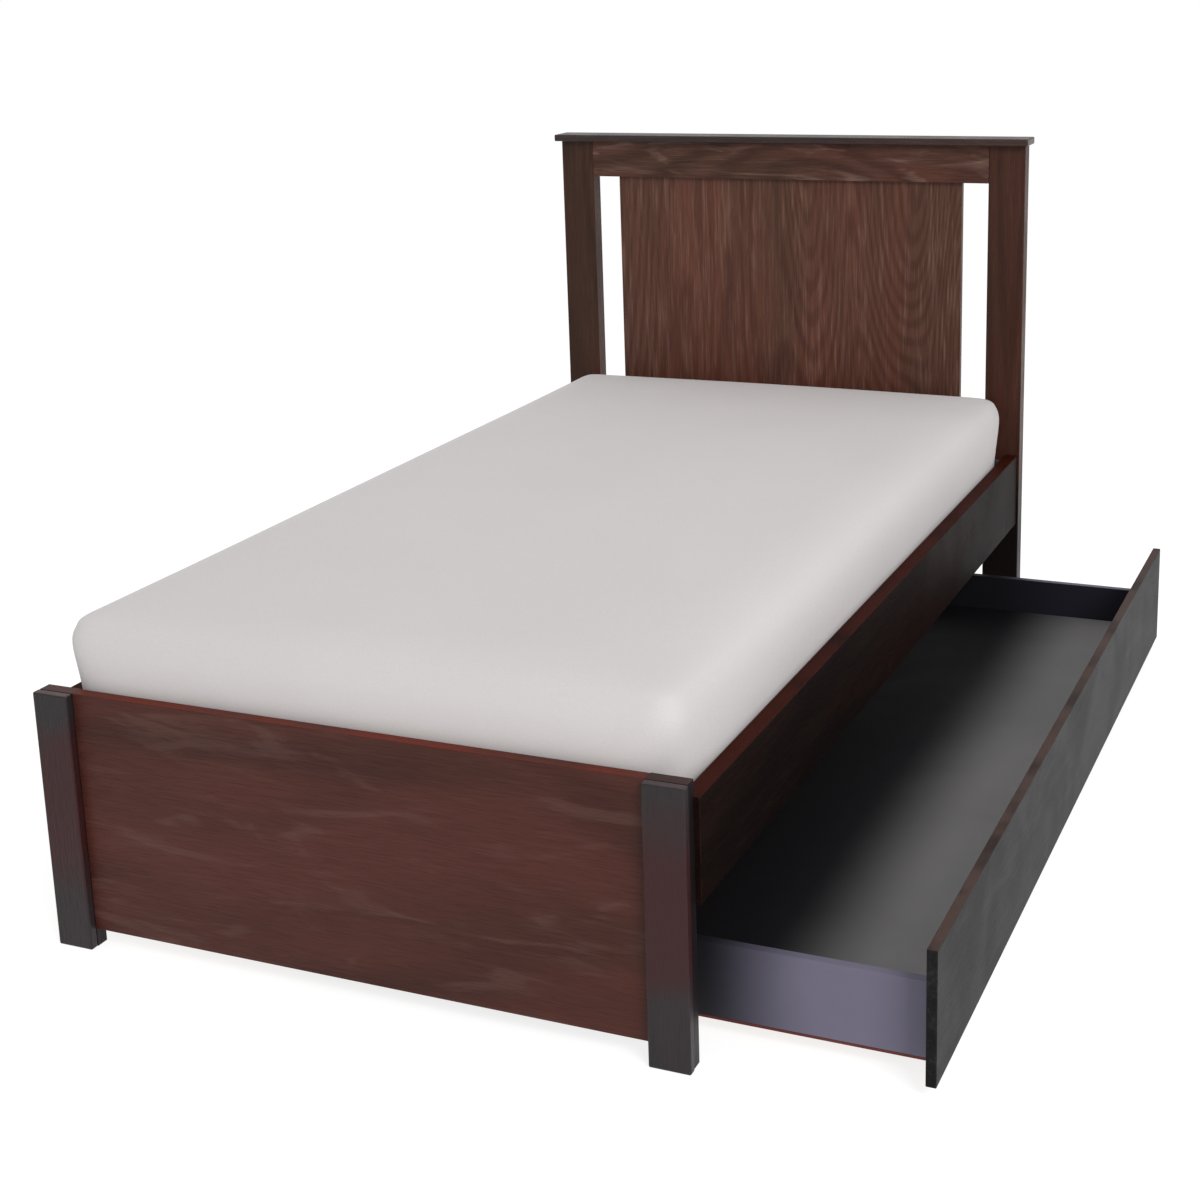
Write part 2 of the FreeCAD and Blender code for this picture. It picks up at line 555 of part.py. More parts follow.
def make_wheel(caster, x, y):
    """A moulded wheel: a revolved ring with both sides dished between hub and rim."""
    node = f"wheel_{caster}"
    body = doc.addObject("PartDesign::Body", node)
    bore = "(axle_radius + axle_clearance)"
    across = f"wheel_radius - {bore}"
    ring = rectangle(body, node + "_section", across, "wheel_width", bore, "0 - wheel_width / 2")
    turned = body.newObject("PartDesign::Revolution", node + "_ring")
    turned.Profile = ring
    turned.ReferenceAxis = (plane_of(body, "Y_Axis"), [""])
    turned.Angle = 360
    dish_width = "wheel_radius - rim_thickness - hub_radius"
    for side, low in (("low", "0 - wheel_width / 2"), ("high", "wheel_width / 2 - wheel_dish")):
        doc.recompute()
        dish = rectangle(body, f"{node}_{side}_dish", dish_width, "wheel_dish", "hub_radius", low)
        cut = body.newObject("PartDesign::Groove", f"{node}_{side}_groove")
        cut.Profile = dish
        cut.ReferenceAxis = (plane_of(body, "Y_Axis"), [""])
        cut.Angle = 360
    doc.recompute()
    radius = dims.get("wheel_radius")
    tread = []
    for number, edge in enumerate(cut.Shape.Edges, start=1):
        if hasattr(edge.Curve, "Radius") and abs(edge.Curve.Radius - radius) < 0.001:
            tread.append(f"Edge{number}")
    fillet = body.newObject("PartDesign::Fillet", node + "_rounding")
    fillet.Base = (cut, tread)
    bind(fillet, "Radius", "wheel_rounding")
    place(body, x, y, "wheel_radius")
    keep(body, node)


def make_casters(caster_screws):
    span = f"({FORK_WIDTH} + 2 * axle_head)"
    axles = []
    for caster, (x, y) in CASTERS.items():
        at = (x, f"{y} - {span} / 2", "wheel_radius")
        axles.append(dowel(f"axle_{caster}", "axle_radius", span, at, TO_Y))
    axles = group_of("wheel_axles", axles)
    for caster, (x, y) in CASTERS.items():
        make_fork(caster, x, y, caster_screws, axles)
        make_wheel(caster, x, y)


def check():
    """Stop if any object of the document failed or any piece is not a sound solid."""
    for item in doc.Objects:
        if "Invalid" in item.State or "Error" in item.State:
            raise RuntimeError(f"{item.Label} did not compute: {item.State}")
    for piece in PIECES:
        shape = piece.Shape
        if shape.isNull() or not shape.isValid() or not shape.Solids:
            raise RuntimeError(f"{piece.Label} is not a sound solid")


bed_dowels, bed_screws, angle_screws = make_bed_fasteners()
make_footboard(bed_dowels, angle_screws)
make_headboard(bed_dowels, angle_screws)
make_side_rails(bed_screws, angle_screws)
make_slats(bed_screws)
make_corner_angles(angle_screws)
make_mattress()
drawer_dowels, caster_screws = make_drawer_fasteners()
make_drawer(drawer_dowels, caster_screws)
make_casters(caster_screws)
doc.recompute()
check()

os.makedirs("parts", exist_ok=True)
for piece in PIECES:
    piece.Shape.exportStep(f"parts/{piece.Label}.step")
print(f"{len(PIECES)} pieces written")
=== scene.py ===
# %% [markdown]
# # A trundle bed, dressed in Blender
#
# The bed is a stained wooden frame with a foam mattress and a long drawer on wheels under it.
# Its boards, slats, steel angles, screws and wheels already have their true shape and size, so
# they come in as they are. What is left to make is what those solids cannot hold: the look of
# dark stain over grain, the satin lacquer on top of it, the zinc on the steel, and the mattress,
# which is soft and has to be made as a soft thing.
#
# The frame is loaded first. Everything after it takes its place from the frame's own boxes.

# %% The frame
import math
import bmesh
import bpy
import numpy as np
from mathutils import Matrix, Vector


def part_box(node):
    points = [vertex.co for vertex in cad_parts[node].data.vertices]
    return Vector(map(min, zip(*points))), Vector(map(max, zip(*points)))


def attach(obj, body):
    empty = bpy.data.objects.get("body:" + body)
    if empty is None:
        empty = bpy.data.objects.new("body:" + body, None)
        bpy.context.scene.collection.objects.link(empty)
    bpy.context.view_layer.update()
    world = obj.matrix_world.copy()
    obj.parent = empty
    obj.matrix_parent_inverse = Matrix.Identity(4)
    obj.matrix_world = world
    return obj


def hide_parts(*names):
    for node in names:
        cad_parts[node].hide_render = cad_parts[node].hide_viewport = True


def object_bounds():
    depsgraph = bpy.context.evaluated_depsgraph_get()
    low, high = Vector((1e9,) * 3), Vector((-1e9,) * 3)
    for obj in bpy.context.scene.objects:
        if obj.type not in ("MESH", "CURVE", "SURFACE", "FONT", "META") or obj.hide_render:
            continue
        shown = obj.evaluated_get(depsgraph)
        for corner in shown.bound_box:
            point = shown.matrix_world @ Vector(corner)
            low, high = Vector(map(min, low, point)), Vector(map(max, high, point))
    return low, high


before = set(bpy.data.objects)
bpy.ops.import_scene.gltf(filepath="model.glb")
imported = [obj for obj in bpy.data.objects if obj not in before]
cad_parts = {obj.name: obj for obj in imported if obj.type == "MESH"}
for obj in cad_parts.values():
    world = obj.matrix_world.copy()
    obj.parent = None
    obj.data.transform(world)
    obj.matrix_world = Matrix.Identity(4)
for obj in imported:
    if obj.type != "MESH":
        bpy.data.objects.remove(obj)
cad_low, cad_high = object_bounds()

MM = 0.001
UP = (0.0, 0.0, 1.0)
ALONG_BED = (0.0, 1.0, 0.0)
print("the frame is", [round(size, 3) for size in cad_high - cad_low], "metres")

# %% [markdown]
# ## The camera
#
# The bed is seen from in front of its foot end, from well to the right, and from a little below
# the eye height of someone who stands. A camera can be aimed with a constraint, but three plain
# turns are easier to follow: turn it left, tilt it down, and lean it a touch. The lens is a
# little longer than a normal one, which keeps the long rails from racing away. The small shift
# moves the bed up and to the side in the frame without tilting the camera further, so the posts
# keep their slight lean.

# %% Camera
EYE_FROM_CENTRE = 1269 * MM
EYE_FROM_FOOT = 2162 * MM
EYE_HEIGHT = 1460 * MM
TURN_LEFT = 23.37
TILT_DOWN = 14.08
LEAN = -1.56
LENS = 58.3
SHIFT_ACROSS = -0.0375
SHIFT_UP = -0.125


def make_camera():
    """Places the camera from the foot end of the frame's own box."""
    data = bpy.data.cameras.new("camera")
    data.lens = LENS
    data.shift_x = SHIFT_ACROSS
    data.shift_y = SHIFT_UP
    camera = bpy.data.objects.new("camera", data)
    bpy.context.scene.collection.objects.link(camera)
    eye = Vector((EYE_FROM_CENTRE, cad_low.y - EYE_FROM_FOOT, EYE_HEIGHT))
    turn = Matrix.Rotation(math.radians(TURN_LEFT), 4, "Z")
    tilt = Matrix.Rotation(math.radians(90 - TILT_DOWN), 4, "X")
    lean = Matrix.Rotation(math.radians(LEAN), 4, "Z")
    camera.matrix_world = Matrix.Translation(eye) @ turn @ tilt @ lean
    bpy.context.scene.camera = camera
    print("camera at", [round(place, 3) for place in eye])


make_camera()

# %% [markdown]
# ## Working with nodes
#
# Every finish below is a small network of nodes. Nodes could be placed and joined one by one
# in the editor, but written out they can be read and used again, so each common step gets a
# helper: put a value or another node's output into a socket, do a sum, fade between two levels,
# mix two colours, draw soft noise, and place a node group. Colours are written as the numbers
# that a colour picker shows, from 0 to 255, and turned into the linear light values that the
# shader works in.

# %% Colour helper


def swatch(red, green, blue):
    """A colour picker's numbers as linear light."""
    parts = [part / 255 for part in (red, green, blue)]
    linear = [part / 12.92 if part <= 0.04045 else ((part + 0.055) / 1.055) ** 2.4 for part in parts]
    return (*linear, 1.0)


print("middle grey is", round(swatch(128, 128, 128)[0], 3), "in linear light")

# %% Links and sums


def feed(tree, value, socket):
    """Links a node's output to the socket, or sets the socket to a plain value."""
    if isinstance(value, bpy.types.NodeSocket):
        tree.links.new(value, socket)
    else:
        socket.default_value = value


def sum_of(tree, operation, first, second=0.0):
    """One step of arithmetic on two numbers."""
    node = tree.nodes.new("ShaderNodeMath")
    node.operation = operation
    feed(tree, first, node.inputs[0])
    feed(tree, second, node.inputs[1])
    return node.outputs[0]


def vector_sum(tree, operation, first, second):
    """The same for places and directions. A dot product gives a plain number."""
    node = tree.nodes.new("ShaderNodeVectorMath")
    node.operation = operation
    feed(tree, first, node.inputs[0])
    feed(tree, second, node.inputs[1])
    return node.outputs["Value"] if operation == "DOT_PRODUCT" else node.outputs["Vector"]


def between(tree, value, low, high, to_low=0.0, to_high=1.0):
    """Fades from to_low to to_high while the value climbs from low to high."""
    node = tree.nodes.new("ShaderNodeMapRange")
    node.interpolation_type = "SMOOTHSTEP"
    for socket, amount in zip(node.inputs, (value, low, high, to_low, to_high)):
        feed(tree, amount, socket)
    return node.outputs["Result"]


# %% Colours and noise


def blend_colours(tree, amount, first, second, how="MIX"):
    """The first colour at amount 0, the second at amount 1."""
    node = tree.nodes.new("ShaderNodeMix")
    node.data_type = "RGBA"
    node.blend_type = how
    colours = [socket for socket in node.inputs if socket.type == "RGBA"]
    feed(tree, amount, node.inputs["Factor"])
    feed(tree, first, colours[0])
    feed(tree, second, colours[1])
    return next(socket for socket in node.outputs if socket.type == "RGBA")


def cloudy(tree, place, scale, detail=2.0, distortion=0.0):
    """Soft noise between 0 and 1, with scale clouds to the metre."""
    node = tree.nodes.new("ShaderNodeTexNoise")
    feed(tree, place, node.inputs["Vector"])
    feed(tree, scale, node.inputs["Scale"])
    node.inputs["Detail"].default_value = detail
    node.inputs["Distortion"].default_value = distortion
    return node.outputs["Fac"]


def own_place(tree):
    """A point's place on its own piece, in metres, so that a pattern moves with the piece."""
    return tree.nodes.new("ShaderNodeTexCoord").outputs["Object"]


# %% [markdown]
# ## Groups of nodes
#
# An effect that several finishes share, such as grain or dust, is built once as a node group.
# Copying the nodes into each material would work too, but then every change has to be made in
# every copy. A group has named sockets, like a tool with labelled knobs, and each material
# places it with settings of its own.

# %% Group helpers


def new_group(name, inputs, outputs):
    """An empty node group with named sockets. Gives the group, its inputs and its outputs."""
    group = bpy.data.node_groups.new(name, "ShaderNodeTree")
    for label, kind, value in inputs:
        socket = group.interface.new_socket(label, in_out="INPUT", socket_type="NodeSocket" + kind)
        socket.default_value = value
    for label, kind in outputs:
        group.interface.new_socket(label, in_out="OUTPUT", socket_type="NodeSocket" + kind)
    entry = group.nodes.new("NodeGroupInput")
    leaving = group.nodes.new("NodeGroupOutput")
    print("node group", name, "gives", [label for label, kind in outputs])
    return group, entry.outputs, leaving.inputs


def use_group(tree, group, **values):
    """Places a group in a material's tree. A name's underscores stand for the spaces of its socket."""
    node = tree.nodes.new("ShaderNodeGroup")
    node.node_tree = group
    for name, value in values.items():
        feed(tree, value, node.inputs[name.replace("_", " ")])
    return node.outputs


# %% [markdown]
# ## Wood grain
#
# Flat-sawn boards show three things at three sizes. The annual rings run out into long arches
# a few centimetres wide. Between them lie streaks a few millimetres wide, and over all of it
# the open pores, short dark dashes that are drawn here wider than life so that they still show
# from a few steps away. A dark stain adds a fourth: it soaks in unevenly, so some stretches
# stay red and others go nearly black. Pale flames are the places where it hardly took at all.
#
# A wave texture could draw the rings, but its lines stay too even. Rings are really the
# contour lines of a slowly rolling field, so a smooth noise is taken and its sine is drawn:
# every place where the noise has the same value becomes one line. Noise that is squeezed along
# one axis turns into streaks, so the same group serves every direction of grain.

# %% Grain group
STREAKS_PER_METRE = 230.0
PORES_PER_METRE = 620.0
STAIN_CLOUDS_PER_METRE = 5.0
FIGURES_PER_METRE = 3.4
FLAMES_PER_METRE = 32.0
PORE_DARKNESS = 0.18


def make_grain_group():
    """Colour and relief of a stained board: rings, stain clouds, streaks, flames and pores."""
    stain = ("Color", (0.02, 0.01, 0.01, 1.0))
    inputs = [
        ("Squeeze", "Vector", (1.0, 1.0, 0.05)),
        ("Figure squeeze", "Vector", (1.0, 1.0, 0.2)),
        ("Offset", "Vector", (0.0, 0.0, 0.0)),
        ("Dark stain", *stain),
        ("Warm stain", *stain),
        ("Pale streak", *stain),
        ("Warmth", "Float", 0.6),
        ("Streaks", "Float", 0.3),
        ("Flames", "Float", 0.2),
        ("Flames per metre", "Float", FLAMES_PER_METRE),
        ("Ring count", "Float", 30.0),
        ("Ring depth", "Float", 0.3),
    ]
    group, given, out = new_group("wood grain", inputs, [("Color", "Color"), ("Height", "Float")])
    squeezed = vector_sum(group, "MULTIPLY", own_place(group), given["Squeeze"])
    place = vector_sum(group, "ADD", squeezed, given["Offset"])
    figure = vector_sum(group, "MULTIPLY", own_place(group), given["Figure squeeze"])
    figure = vector_sum(group, "ADD", figure, given["Offset"])
    rolling = cloudy(group, figure, FIGURES_PER_METRE, detail=1.0, distortion=0.4)
    turns = sum_of(group, "MULTIPLY", rolling, given["Ring count"])
    rings = sum_of(group, "SINE", sum_of(group, "MULTIPLY", turns, math.tau))
    ring_shade = sum_of(group, "POWER", between(group, rings, -1.0, 1.0), 1.6)
    clouds = cloudy(group, figure, STAIN_CLOUDS_PER_METRE, detail=4.0, distortion=0.8)
    warm = sum_of(group, "MULTIPLY", between(group, clouds, 0.36, 0.64), given["Warmth"])
    colour = blend_colours(group, warm, given["Dark stain"], given["Warm stain"])
    streaks = cloudy(group, place, STREAKS_PER_METRE, detail=2.0, distortion=0.3)
    flames = cloudy(group, figure, given["Flames per metre"], detail=4.0, distortion=1.0)
    pale = sum_of(group, "MULTIPLY", between(group, streaks, 0.42, 0.72), given["Streaks"])
    pale = sum_of(group, "MULTIPLY", pale, between(group, flames, 0.38, 0.66, 0.3, 1.0))
    flame = sum_of(group, "MULTIPLY", between(group, flames, 0.52, 0.7), given["Flames"])
    pale = sum_of(group, "MAXIMUM", pale, flame)
    colour = blend_colours(group, pale, colour, given["Pale streak"])
    darker = sum_of(group, "MULTIPLY", ring_shade, given["Ring depth"])
    shade = blend_colours(group, darker, (1.0, 1.0, 1.0, 1.0), (0.3, 0.26, 0.26, 1.0))
    colour = blend_colours(group, 1.0, colour, shade, how="MULTIPLY")
    pores = between(group, cloudy(group, place, PORES_PER_METRE, detail=1.0), 0.45, 0.7)
    pored = sum_of(group, "MULTIPLY", pores, PORE_DARKNESS)
    feed(group, blend_colours(group, pored, colour, (0.0, 0.0, 0.0, 1.0)), out["Color"])
    relief = sum_of(group, "ADD", sum_of(group, "MULTIPLY", ring_shade, 0.5), streaks)
    feed(group, sum_of(group, "SUBTRACT", relief, pores), out["Height"])
    return group


wood_grain = make_grain_group()

# %% [markdown]
# ## Worn edges
#
# Stain and lacquer run thin on a sanded corner, and hands and bedding rub it further, so the
# edges of a dark bed show a warmer, paler line. A vertex based measure such as pointiness needs
# many vertices, and these boards have few. The Bevel node asks for the normal that a rounded
# edge would have, and where that differs from the true normal there is an edge. A cloudy
# pattern breaks the line up, since no hand wears an edge evenly.

# %% Edge wear group
RUBS_PER_METRE = 34.0


def make_wear_group():
    """A mask that is 1 along worn edges."""
    inputs = [("Width", "Float", 2 * MM), ("Amount", "Float", 0.5)]
    group, given, out = new_group("edge wear", inputs, [("Worn", "Float")])
    bevel = group.nodes.new("ShaderNodeBevel")
    bevel.samples = 4
    feed(group, given["Width"], bevel.inputs["Radius"])
    facing = group.nodes.new("ShaderNodeNewGeometry").outputs["Normal"]
    alike = vector_sum(group, "DOT_PRODUCT", bevel.outputs["Normal"], facing)
    edge = between(group, sum_of(group, "SUBTRACT", 1.0, alike), 0.005, 0.12)
    rubs = cloudy(group, own_place(group), RUBS_PER_METRE, detail=3.0)
    broken = between(group, rubs, 0.35, 0.6, 0.3, 1.0)
    worn = sum_of(group, "MULTIPLY", edge, broken)
    feed(group, sum_of(group, "MULTIPLY", worn, given["Amount"]), out["Worn"])
    return group


edge_wear = make_wear_group()

# %% [markdown]
# ## Lacquer
#
# Satin lacquer is sprayed on and rubbed down, and it is never quite even: it lies a little
# glossier in one place than in the next. The group gives a roughness that drifts slowly over
# the board, and a very shallow ripple that keeps reflections from being ruler straight. The
# ripple is what makes a long dark board look sprayed and not like glass.

# %% Lacquer group


def make_lacquer_group():
    """Roughness and ripple of sprayed lacquer."""
    inputs = [("Gloss low", "Float", 0.3), ("Gloss high", "Float", 0.45), ("Ripples", "Float", 14.0)]
    outputs = [("Roughness", "Float"), ("Height", "Float")]
    group, given, out = new_group("lacquer", inputs, outputs)
    drift = cloudy(group, own_place(group), 6.0, detail=3.0, distortion=0.8)
    rough = between(group, drift, 0.3, 0.7, given["Gloss low"], given["Gloss high"])
    feed(group, rough, out["Roughness"])
    feed(group, cloudy(group, own_place(group), given["Ripples"], detail=1.5), out["Height"])
    return group


lacquer = make_lacquer_group()

# %% [markdown]
# ## Dust
#
# What lies low or under the bed gathers dust: a fine pale speckle that is thickest on faces
# that look up. The group gives a mask from the upward part of the normal and a fine noise. The
# steel, the wheels, the slats and the drawer's boards all take a little of it, each with a dust
# colour that suits what lies under it.

# %% Dust group
DUST_ON_WOOD = swatch(150, 146, 140)
DUST_ON_BOARD = swatch(150, 148, 146)
DUST_ON_STEEL = swatch(132, 128, 122)
DUST_ON_NYLON = swatch(120, 116, 110)


def make_dust_group():
    """A mask that is 1 where dust lies."""
    inputs = [("Amount", "Float", 0.2), ("Grains per metre", "Float", 900.0)]
    group, given, out = new_group("dust", inputs, [("Dusty", "Float")])
    normal = group.nodes.new("ShaderNodeNewGeometry").outputs["Normal"]
    facing_up = vector_sum(group, "DOT_PRODUCT", normal, UP)
    upward = between(group, facing_up, 0.2, 1.0, 0.2, 1.0)
    grains = between(group, cloudy(group, own_place(group), given["Grains per metre"]), 0.45, 0.75)
    patches = between(group, cloudy(group, own_place(group), 12.0, detail=3.0), 0.35, 0.7, 0.3, 1.0)
    dusty = sum_of(group, "MULTIPLY", sum_of(group, "MULTIPLY", upward, grains), patches)
    feed(group, sum_of(group, "MULTIPLY", dusty, given["Amount"]), out["Dusty"])
    return group


dust = make_dust_group()

# %% [markdown]
# ## A material to start from
#
# Each material has one Principled shader, and everything that is the same all over it is set on
# the shader's own sockets. Only what changes over the surface comes through a link. One helper
# makes the shader and one turns a height pattern into bumps of a stated depth in metres.

# %% Material helpers
STREAK_SQUEEZE = 0.045


def new_finish(name, **plain):
    """A material and its shader. The plain values go on sockets, with underscores for spaces."""
    material = bpy.data.materials.new(name)
    material.use_nodes = True
    shader = material.node_tree.nodes["Principled BSDF"]
    for socket, value in plain.items():
        shader.inputs[socket.replace("_", " ")].default_value = value
    return material, material.node_tree, shader


def raise_bumps(tree, shader, height, depth):
    """Turns a height pattern into bumps that are depth metres high."""
    bump = tree.nodes.new("ShaderNodeBump")
    bump.inputs["Distance"].default_value = depth
    feed(tree, height, bump.inputs["Height"])
    feed(tree, bump.outputs["Normal"], shader.inputs["Normal"])


def along(axis, squeeze):
    """Squeezes a pattern along x, y or z, which is the way the board's grain runs."""
    return tuple(squeeze if name == axis else 1.0 for name in "xyz")


# %% [markdown]
# ## Stained wood
#
# All the show wood has the same stain and the same lacquer, but no two boards took it alike.
# One function makes the whole family: it joins grain, worn edges and lacquer to a shader, and
# each board gets its own colours, its own direction of grain and its own place in the pattern.
# The worn edge is mixed into the colour after the grain, so it lies over the streaks.
#
# Two more effects are for some boards only. Faces that look up can get a paler, warmer colour,
# which is painted light: it stands in for the light and sheen they catch from above. An upright
# can also have a stretch of another colour between two heights.

# %% Painted top light and stretches of another colour
GRAIN_DEPTH = 0.25 * MM
WORN_WIDTH = 2.5 * MM
STRETCH_FADE = 90 * MM
STRETCH_WANDER = 120 * MM
BARE_EDGE = swatch(100, 48, 34)


def painted_top_light(tree, colour, lit_top_colour, amount):
    """Painted light: gives faces that look up a paler colour, for the light and sheen they catch from
    above.
    """
    normal = tree.nodes.new("ShaderNodeNewGeometry").outputs["Normal"]
    upward = between(tree, vector_sum(tree, "DOT_PRODUCT", normal, UP), 0.5, 0.9)
    patchy = between(tree, cloudy(tree, own_place(tree), 9.0, detail=3.0), 0.35, 0.6, 0.35, 1.0)
    shown = sum_of(tree, "MULTIPLY", sum_of(tree, "MULTIPLY", upward, patchy), amount)
    return blend_colours(tree, shown, colour, lit_top_colour)


def rubbed_and_shaded_stretch(tree, low, high):
    """A mask for the stretch of an upright between two heights, with soft and uneven ends."""
    place = own_place(tree)
    parts = tree.nodes.new("ShaderNodeSeparateXYZ")
    feed(tree, place, parts.inputs[0])
    drift = sum_of(tree, "SUBTRACT", cloudy(tree, place, 14.0, detail=2.0), 0.5)
    height = sum_of(tree, "ADD", parts.outputs["Z"], sum_of(tree, "MULTIPLY", drift, STRETCH_WANDER))
    rising = between(tree, height, low, low + STRETCH_FADE)
    falling = between(tree, height, high - STRETCH_FADE, high, 1.0, 0.0)
    return sum_of(tree, "MULTIPLY", rising, falling)


# %% Stained wood


def stained_wood(
    name, grain, dark, warm, pale, warmth=0.7, streaks=0.3, flames=0.15,
    flame_count=FLAMES_PER_METRE, rings=(10.0, 0.3), offset=(0.0, 0.0, 0.0),
    gloss=(0.36, 0.44), shine=0.2, wear=0.3, top=None, rubbed=None,
):
    """A board's finish. Grain is an axis and a squeeze, rings are a count and a depth."""
    axis, figure_squeeze = grain
    material, tree, shader = new_finish(name, Specular_IOR_Level=shine)
    figure = use_group(
        tree, wood_grain,
        Squeeze=along(axis, STREAK_SQUEEZE), Figure_squeeze=along(axis, figure_squeeze),
        Offset=offset, Dark_stain=dark, Warm_stain=warm, Pale_streak=pale, Warmth=warmth,
        Streaks=streaks, Flames=flames, Flames_per_metre=flame_count,
        Ring_count=rings[0], Ring_depth=rings[1],
    )
    colour = figure["Color"]
    # The stretch is rubbed stain on the foot posts and painted shade on the headboard uprights.
    if rubbed:
        low, high, stretch_colour = rubbed
        colour = blend_colours(tree, rubbed_and_shaded_stretch(tree, low, high), colour, stretch_colour)
    # Painted light: the top setting gives faces that look up a paler colour.
    if top:
        colour = painted_top_light(tree, colour, *top)
    worn = use_group(tree, edge_wear, Width=WORN_WIDTH, Amount=wear)["Worn"]
    feed(tree, blend_colours(tree, worn, colour, BARE_EDGE), shader.inputs["Base Color"])
    coat = use_group(tree, lacquer, Gloss_low=gloss[0], Gloss_high=gloss[1])
    feed(tree, coat["Roughness"], shader.inputs["Roughness"])
    raise_bumps(tree, shader, sum_of(tree, "ADD", figure["Height"], coat["Height"]), GRAIN_DEPTH)
    print("stained wood:", name, "grain along", axis)
    return material


# %% [markdown]
# ### The headboard
#
# The uprights have the grain standing up, and the rails and the cap have it lying down, because
# a joiner cuts each board with its length. The rail over the panel shows the liveliest figure,
# with wide pale flames. The panel is veneered, with fine upright streaks and dark arches that
# stand in each other, so it gets many shallow rings. Below the side rails the uprights are
# painted nearly black, which is painted shade: a stretch of dark colour that starts under the
# floor. One finish with a painted map would need the boards unwrapped. Settings of one shared
# finish need nothing of the sort.

# %% Headboard finishes
rail_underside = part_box("side_rail_right")[0].z
upright_finish = stained_wood(
    "headboard_upright", ("z", 0.12), swatch(56, 37, 27), swatch(72, 38, 29), swatch(90, 68, 56),
    streaks=0.25, flames=0.05, rings=(30.0, 0.3), offset=(3.1, 0.4, 0.2), shine=0.12, wear=0.4,
    # Painted shade: nearly black from under the floor to just above the underside of the side rails.
    rubbed=(-STRETCH_FADE, rail_underside + 1.5 * STRETCH_FADE, swatch(20, 14, 13)),
)
level_finish = stained_wood(
    "headboard_level", ("x", 0.2), swatch(70, 46, 36), swatch(88, 50, 40), swatch(124, 98, 88),
    streaks=0.3, flames=0.6, rings=(22.0, 0.4), offset=(0.7, 1.9, 5.3), shine=0.14, wear=0.4,
)
panel_finish = stained_wood(
    "headboard_veneer", ("z", 0.13), swatch(80, 52, 41), swatch(96, 55, 43), swatch(130, 98, 85),
    streaks=0.45, flames=0.08, rings=(52.0, 0.34), offset=(5.2, 2.0, 1.1), shine=0.14, wear=0.2,
)
cap_finish = stained_wood(
    "headboard_cap_finish", ("x", 0.1), swatch(42, 30, 28), swatch(58, 36, 32), swatch(80, 64, 60),
    streaks=0.3, flames=0.1, offset=(1.4, 6.1, 2.7), gloss=(0.24, 0.32), shine=0.3, wear=0.5,
)

# %% [markdown]
# ### The foot end and the rails
#
# The footboard panel is the reddest board of the bed, with slow, cloudy figure. The posts in
# front of it took more black at their ends, and a red-brown stretch shows between, where legs
# and sheets rub them. The side rails are nearly black outside, and the drawer front is the
# greyest, with a soft open sheen. On all of these the faces that look up get a paler, warmer
# colour, which is painted light: it stands in for the light and sheen they catch from above.

# %% Foot end and rail finishes
post_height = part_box("foot_post_face_left")[1].z
# Painted light: each top setting below colours the faces that look up.
footboard_finish = stained_wood(
    "footboard_veneer", ("x", 0.2), swatch(64, 33, 26), swatch(78, 39, 32), swatch(106, 78, 70),
    warmth=0.8, streaks=0.15, flames=0.28, flame_count=26.0, rings=(9.0, 0.2), offset=(2.2, 0.3, 7.4),
    gloss=(0.4, 0.46), shine=0.14, wear=0.2, top=(swatch(96, 30, 12), 1.0),
)
post_finish = stained_wood(
    "post_stain", ("z", 0.3), swatch(40, 38, 40), swatch(46, 37, 39), swatch(62, 57, 58),
    streaks=0.05, flames=0.1, rings=(5.0, 0.12), offset=(8.0, 0.2, 0.6),
    gloss=(0.34, 0.42), shine=0.2, wear=0.25, top=(swatch(92, 74, 74), 0.8),
    rubbed=(0.18 * post_height, 0.95 * post_height, swatch(52, 24, 25)),
)
block_finish = stained_wood(
    "post_block_stain", ("z", 0.2), swatch(18, 15, 17), swatch(30, 18, 18), swatch(44, 38, 40),
    streaks=0.1, flames=0.1, rings=(5.0, 0.15), offset=(1.0, 3.2, 4.6), shine=0.15, wear=0.2,
    top=(swatch(80, 44, 38), 0.9),
)
rail_finish = stained_wood(
    "rail_stain", ("y", 0.12), swatch(20, 13, 12), swatch(34, 16, 13), swatch(50, 38, 34),
    streaks=0.2, flames=0.1, rings=(6.0, 0.2), offset=(0.5, 4.4, 3.0), gloss=(0.46, 0.52), shine=0.02,
    wear=0.3, top=(swatch(56, 19, 10), 0.9),
)
drawer_face_finish = stained_wood(
    "drawer_face_stain", ("y", 0.1), swatch(21, 21, 22), swatch(26, 25, 25), swatch(66, 63, 64),
    streaks=0.36, flames=0.2, rings=(6.0, 0.2), offset=(6.3, 1.5, 0.9), gloss=(0.44, 0.5), shine=0.06,
    wear=0.2, top=(swatch(76, 60, 55), 0.9),
)

# %% [markdown]
# ### Plain wood
#
# The slats, the ledgers under them, the bearers and the dowels are never stained. They are
# planed softwood or turned beech: pale, with clear rings, and matt, because nobody lacquers a
# slat. The same family of nodes serves them with pale colours and a dull roughness.

# %% Plain wood finishes


def plain_wood(name, axis, dark, warm, pale, rings, offset):
    """Unstained wood with dust on it."""
    material = stained_wood(
        name, (axis, 0.12), dark, warm, pale, streaks=0.35, rings=rings,
        gloss=(0.6, 0.75), shine=0.3, offset=offset, wear=0.1,
    )
    tree = material.node_tree
    shader = tree.nodes["Principled BSDF"]
    wood = shader.inputs["Base Color"].links[0].from_socket
    dusty = use_group(tree, dust, Amount=0.35)["Dusty"]
    feed(tree, blend_colours(tree, dusty, wood, DUST_ON_WOOD), shader.inputs["Base Color"])
    return material


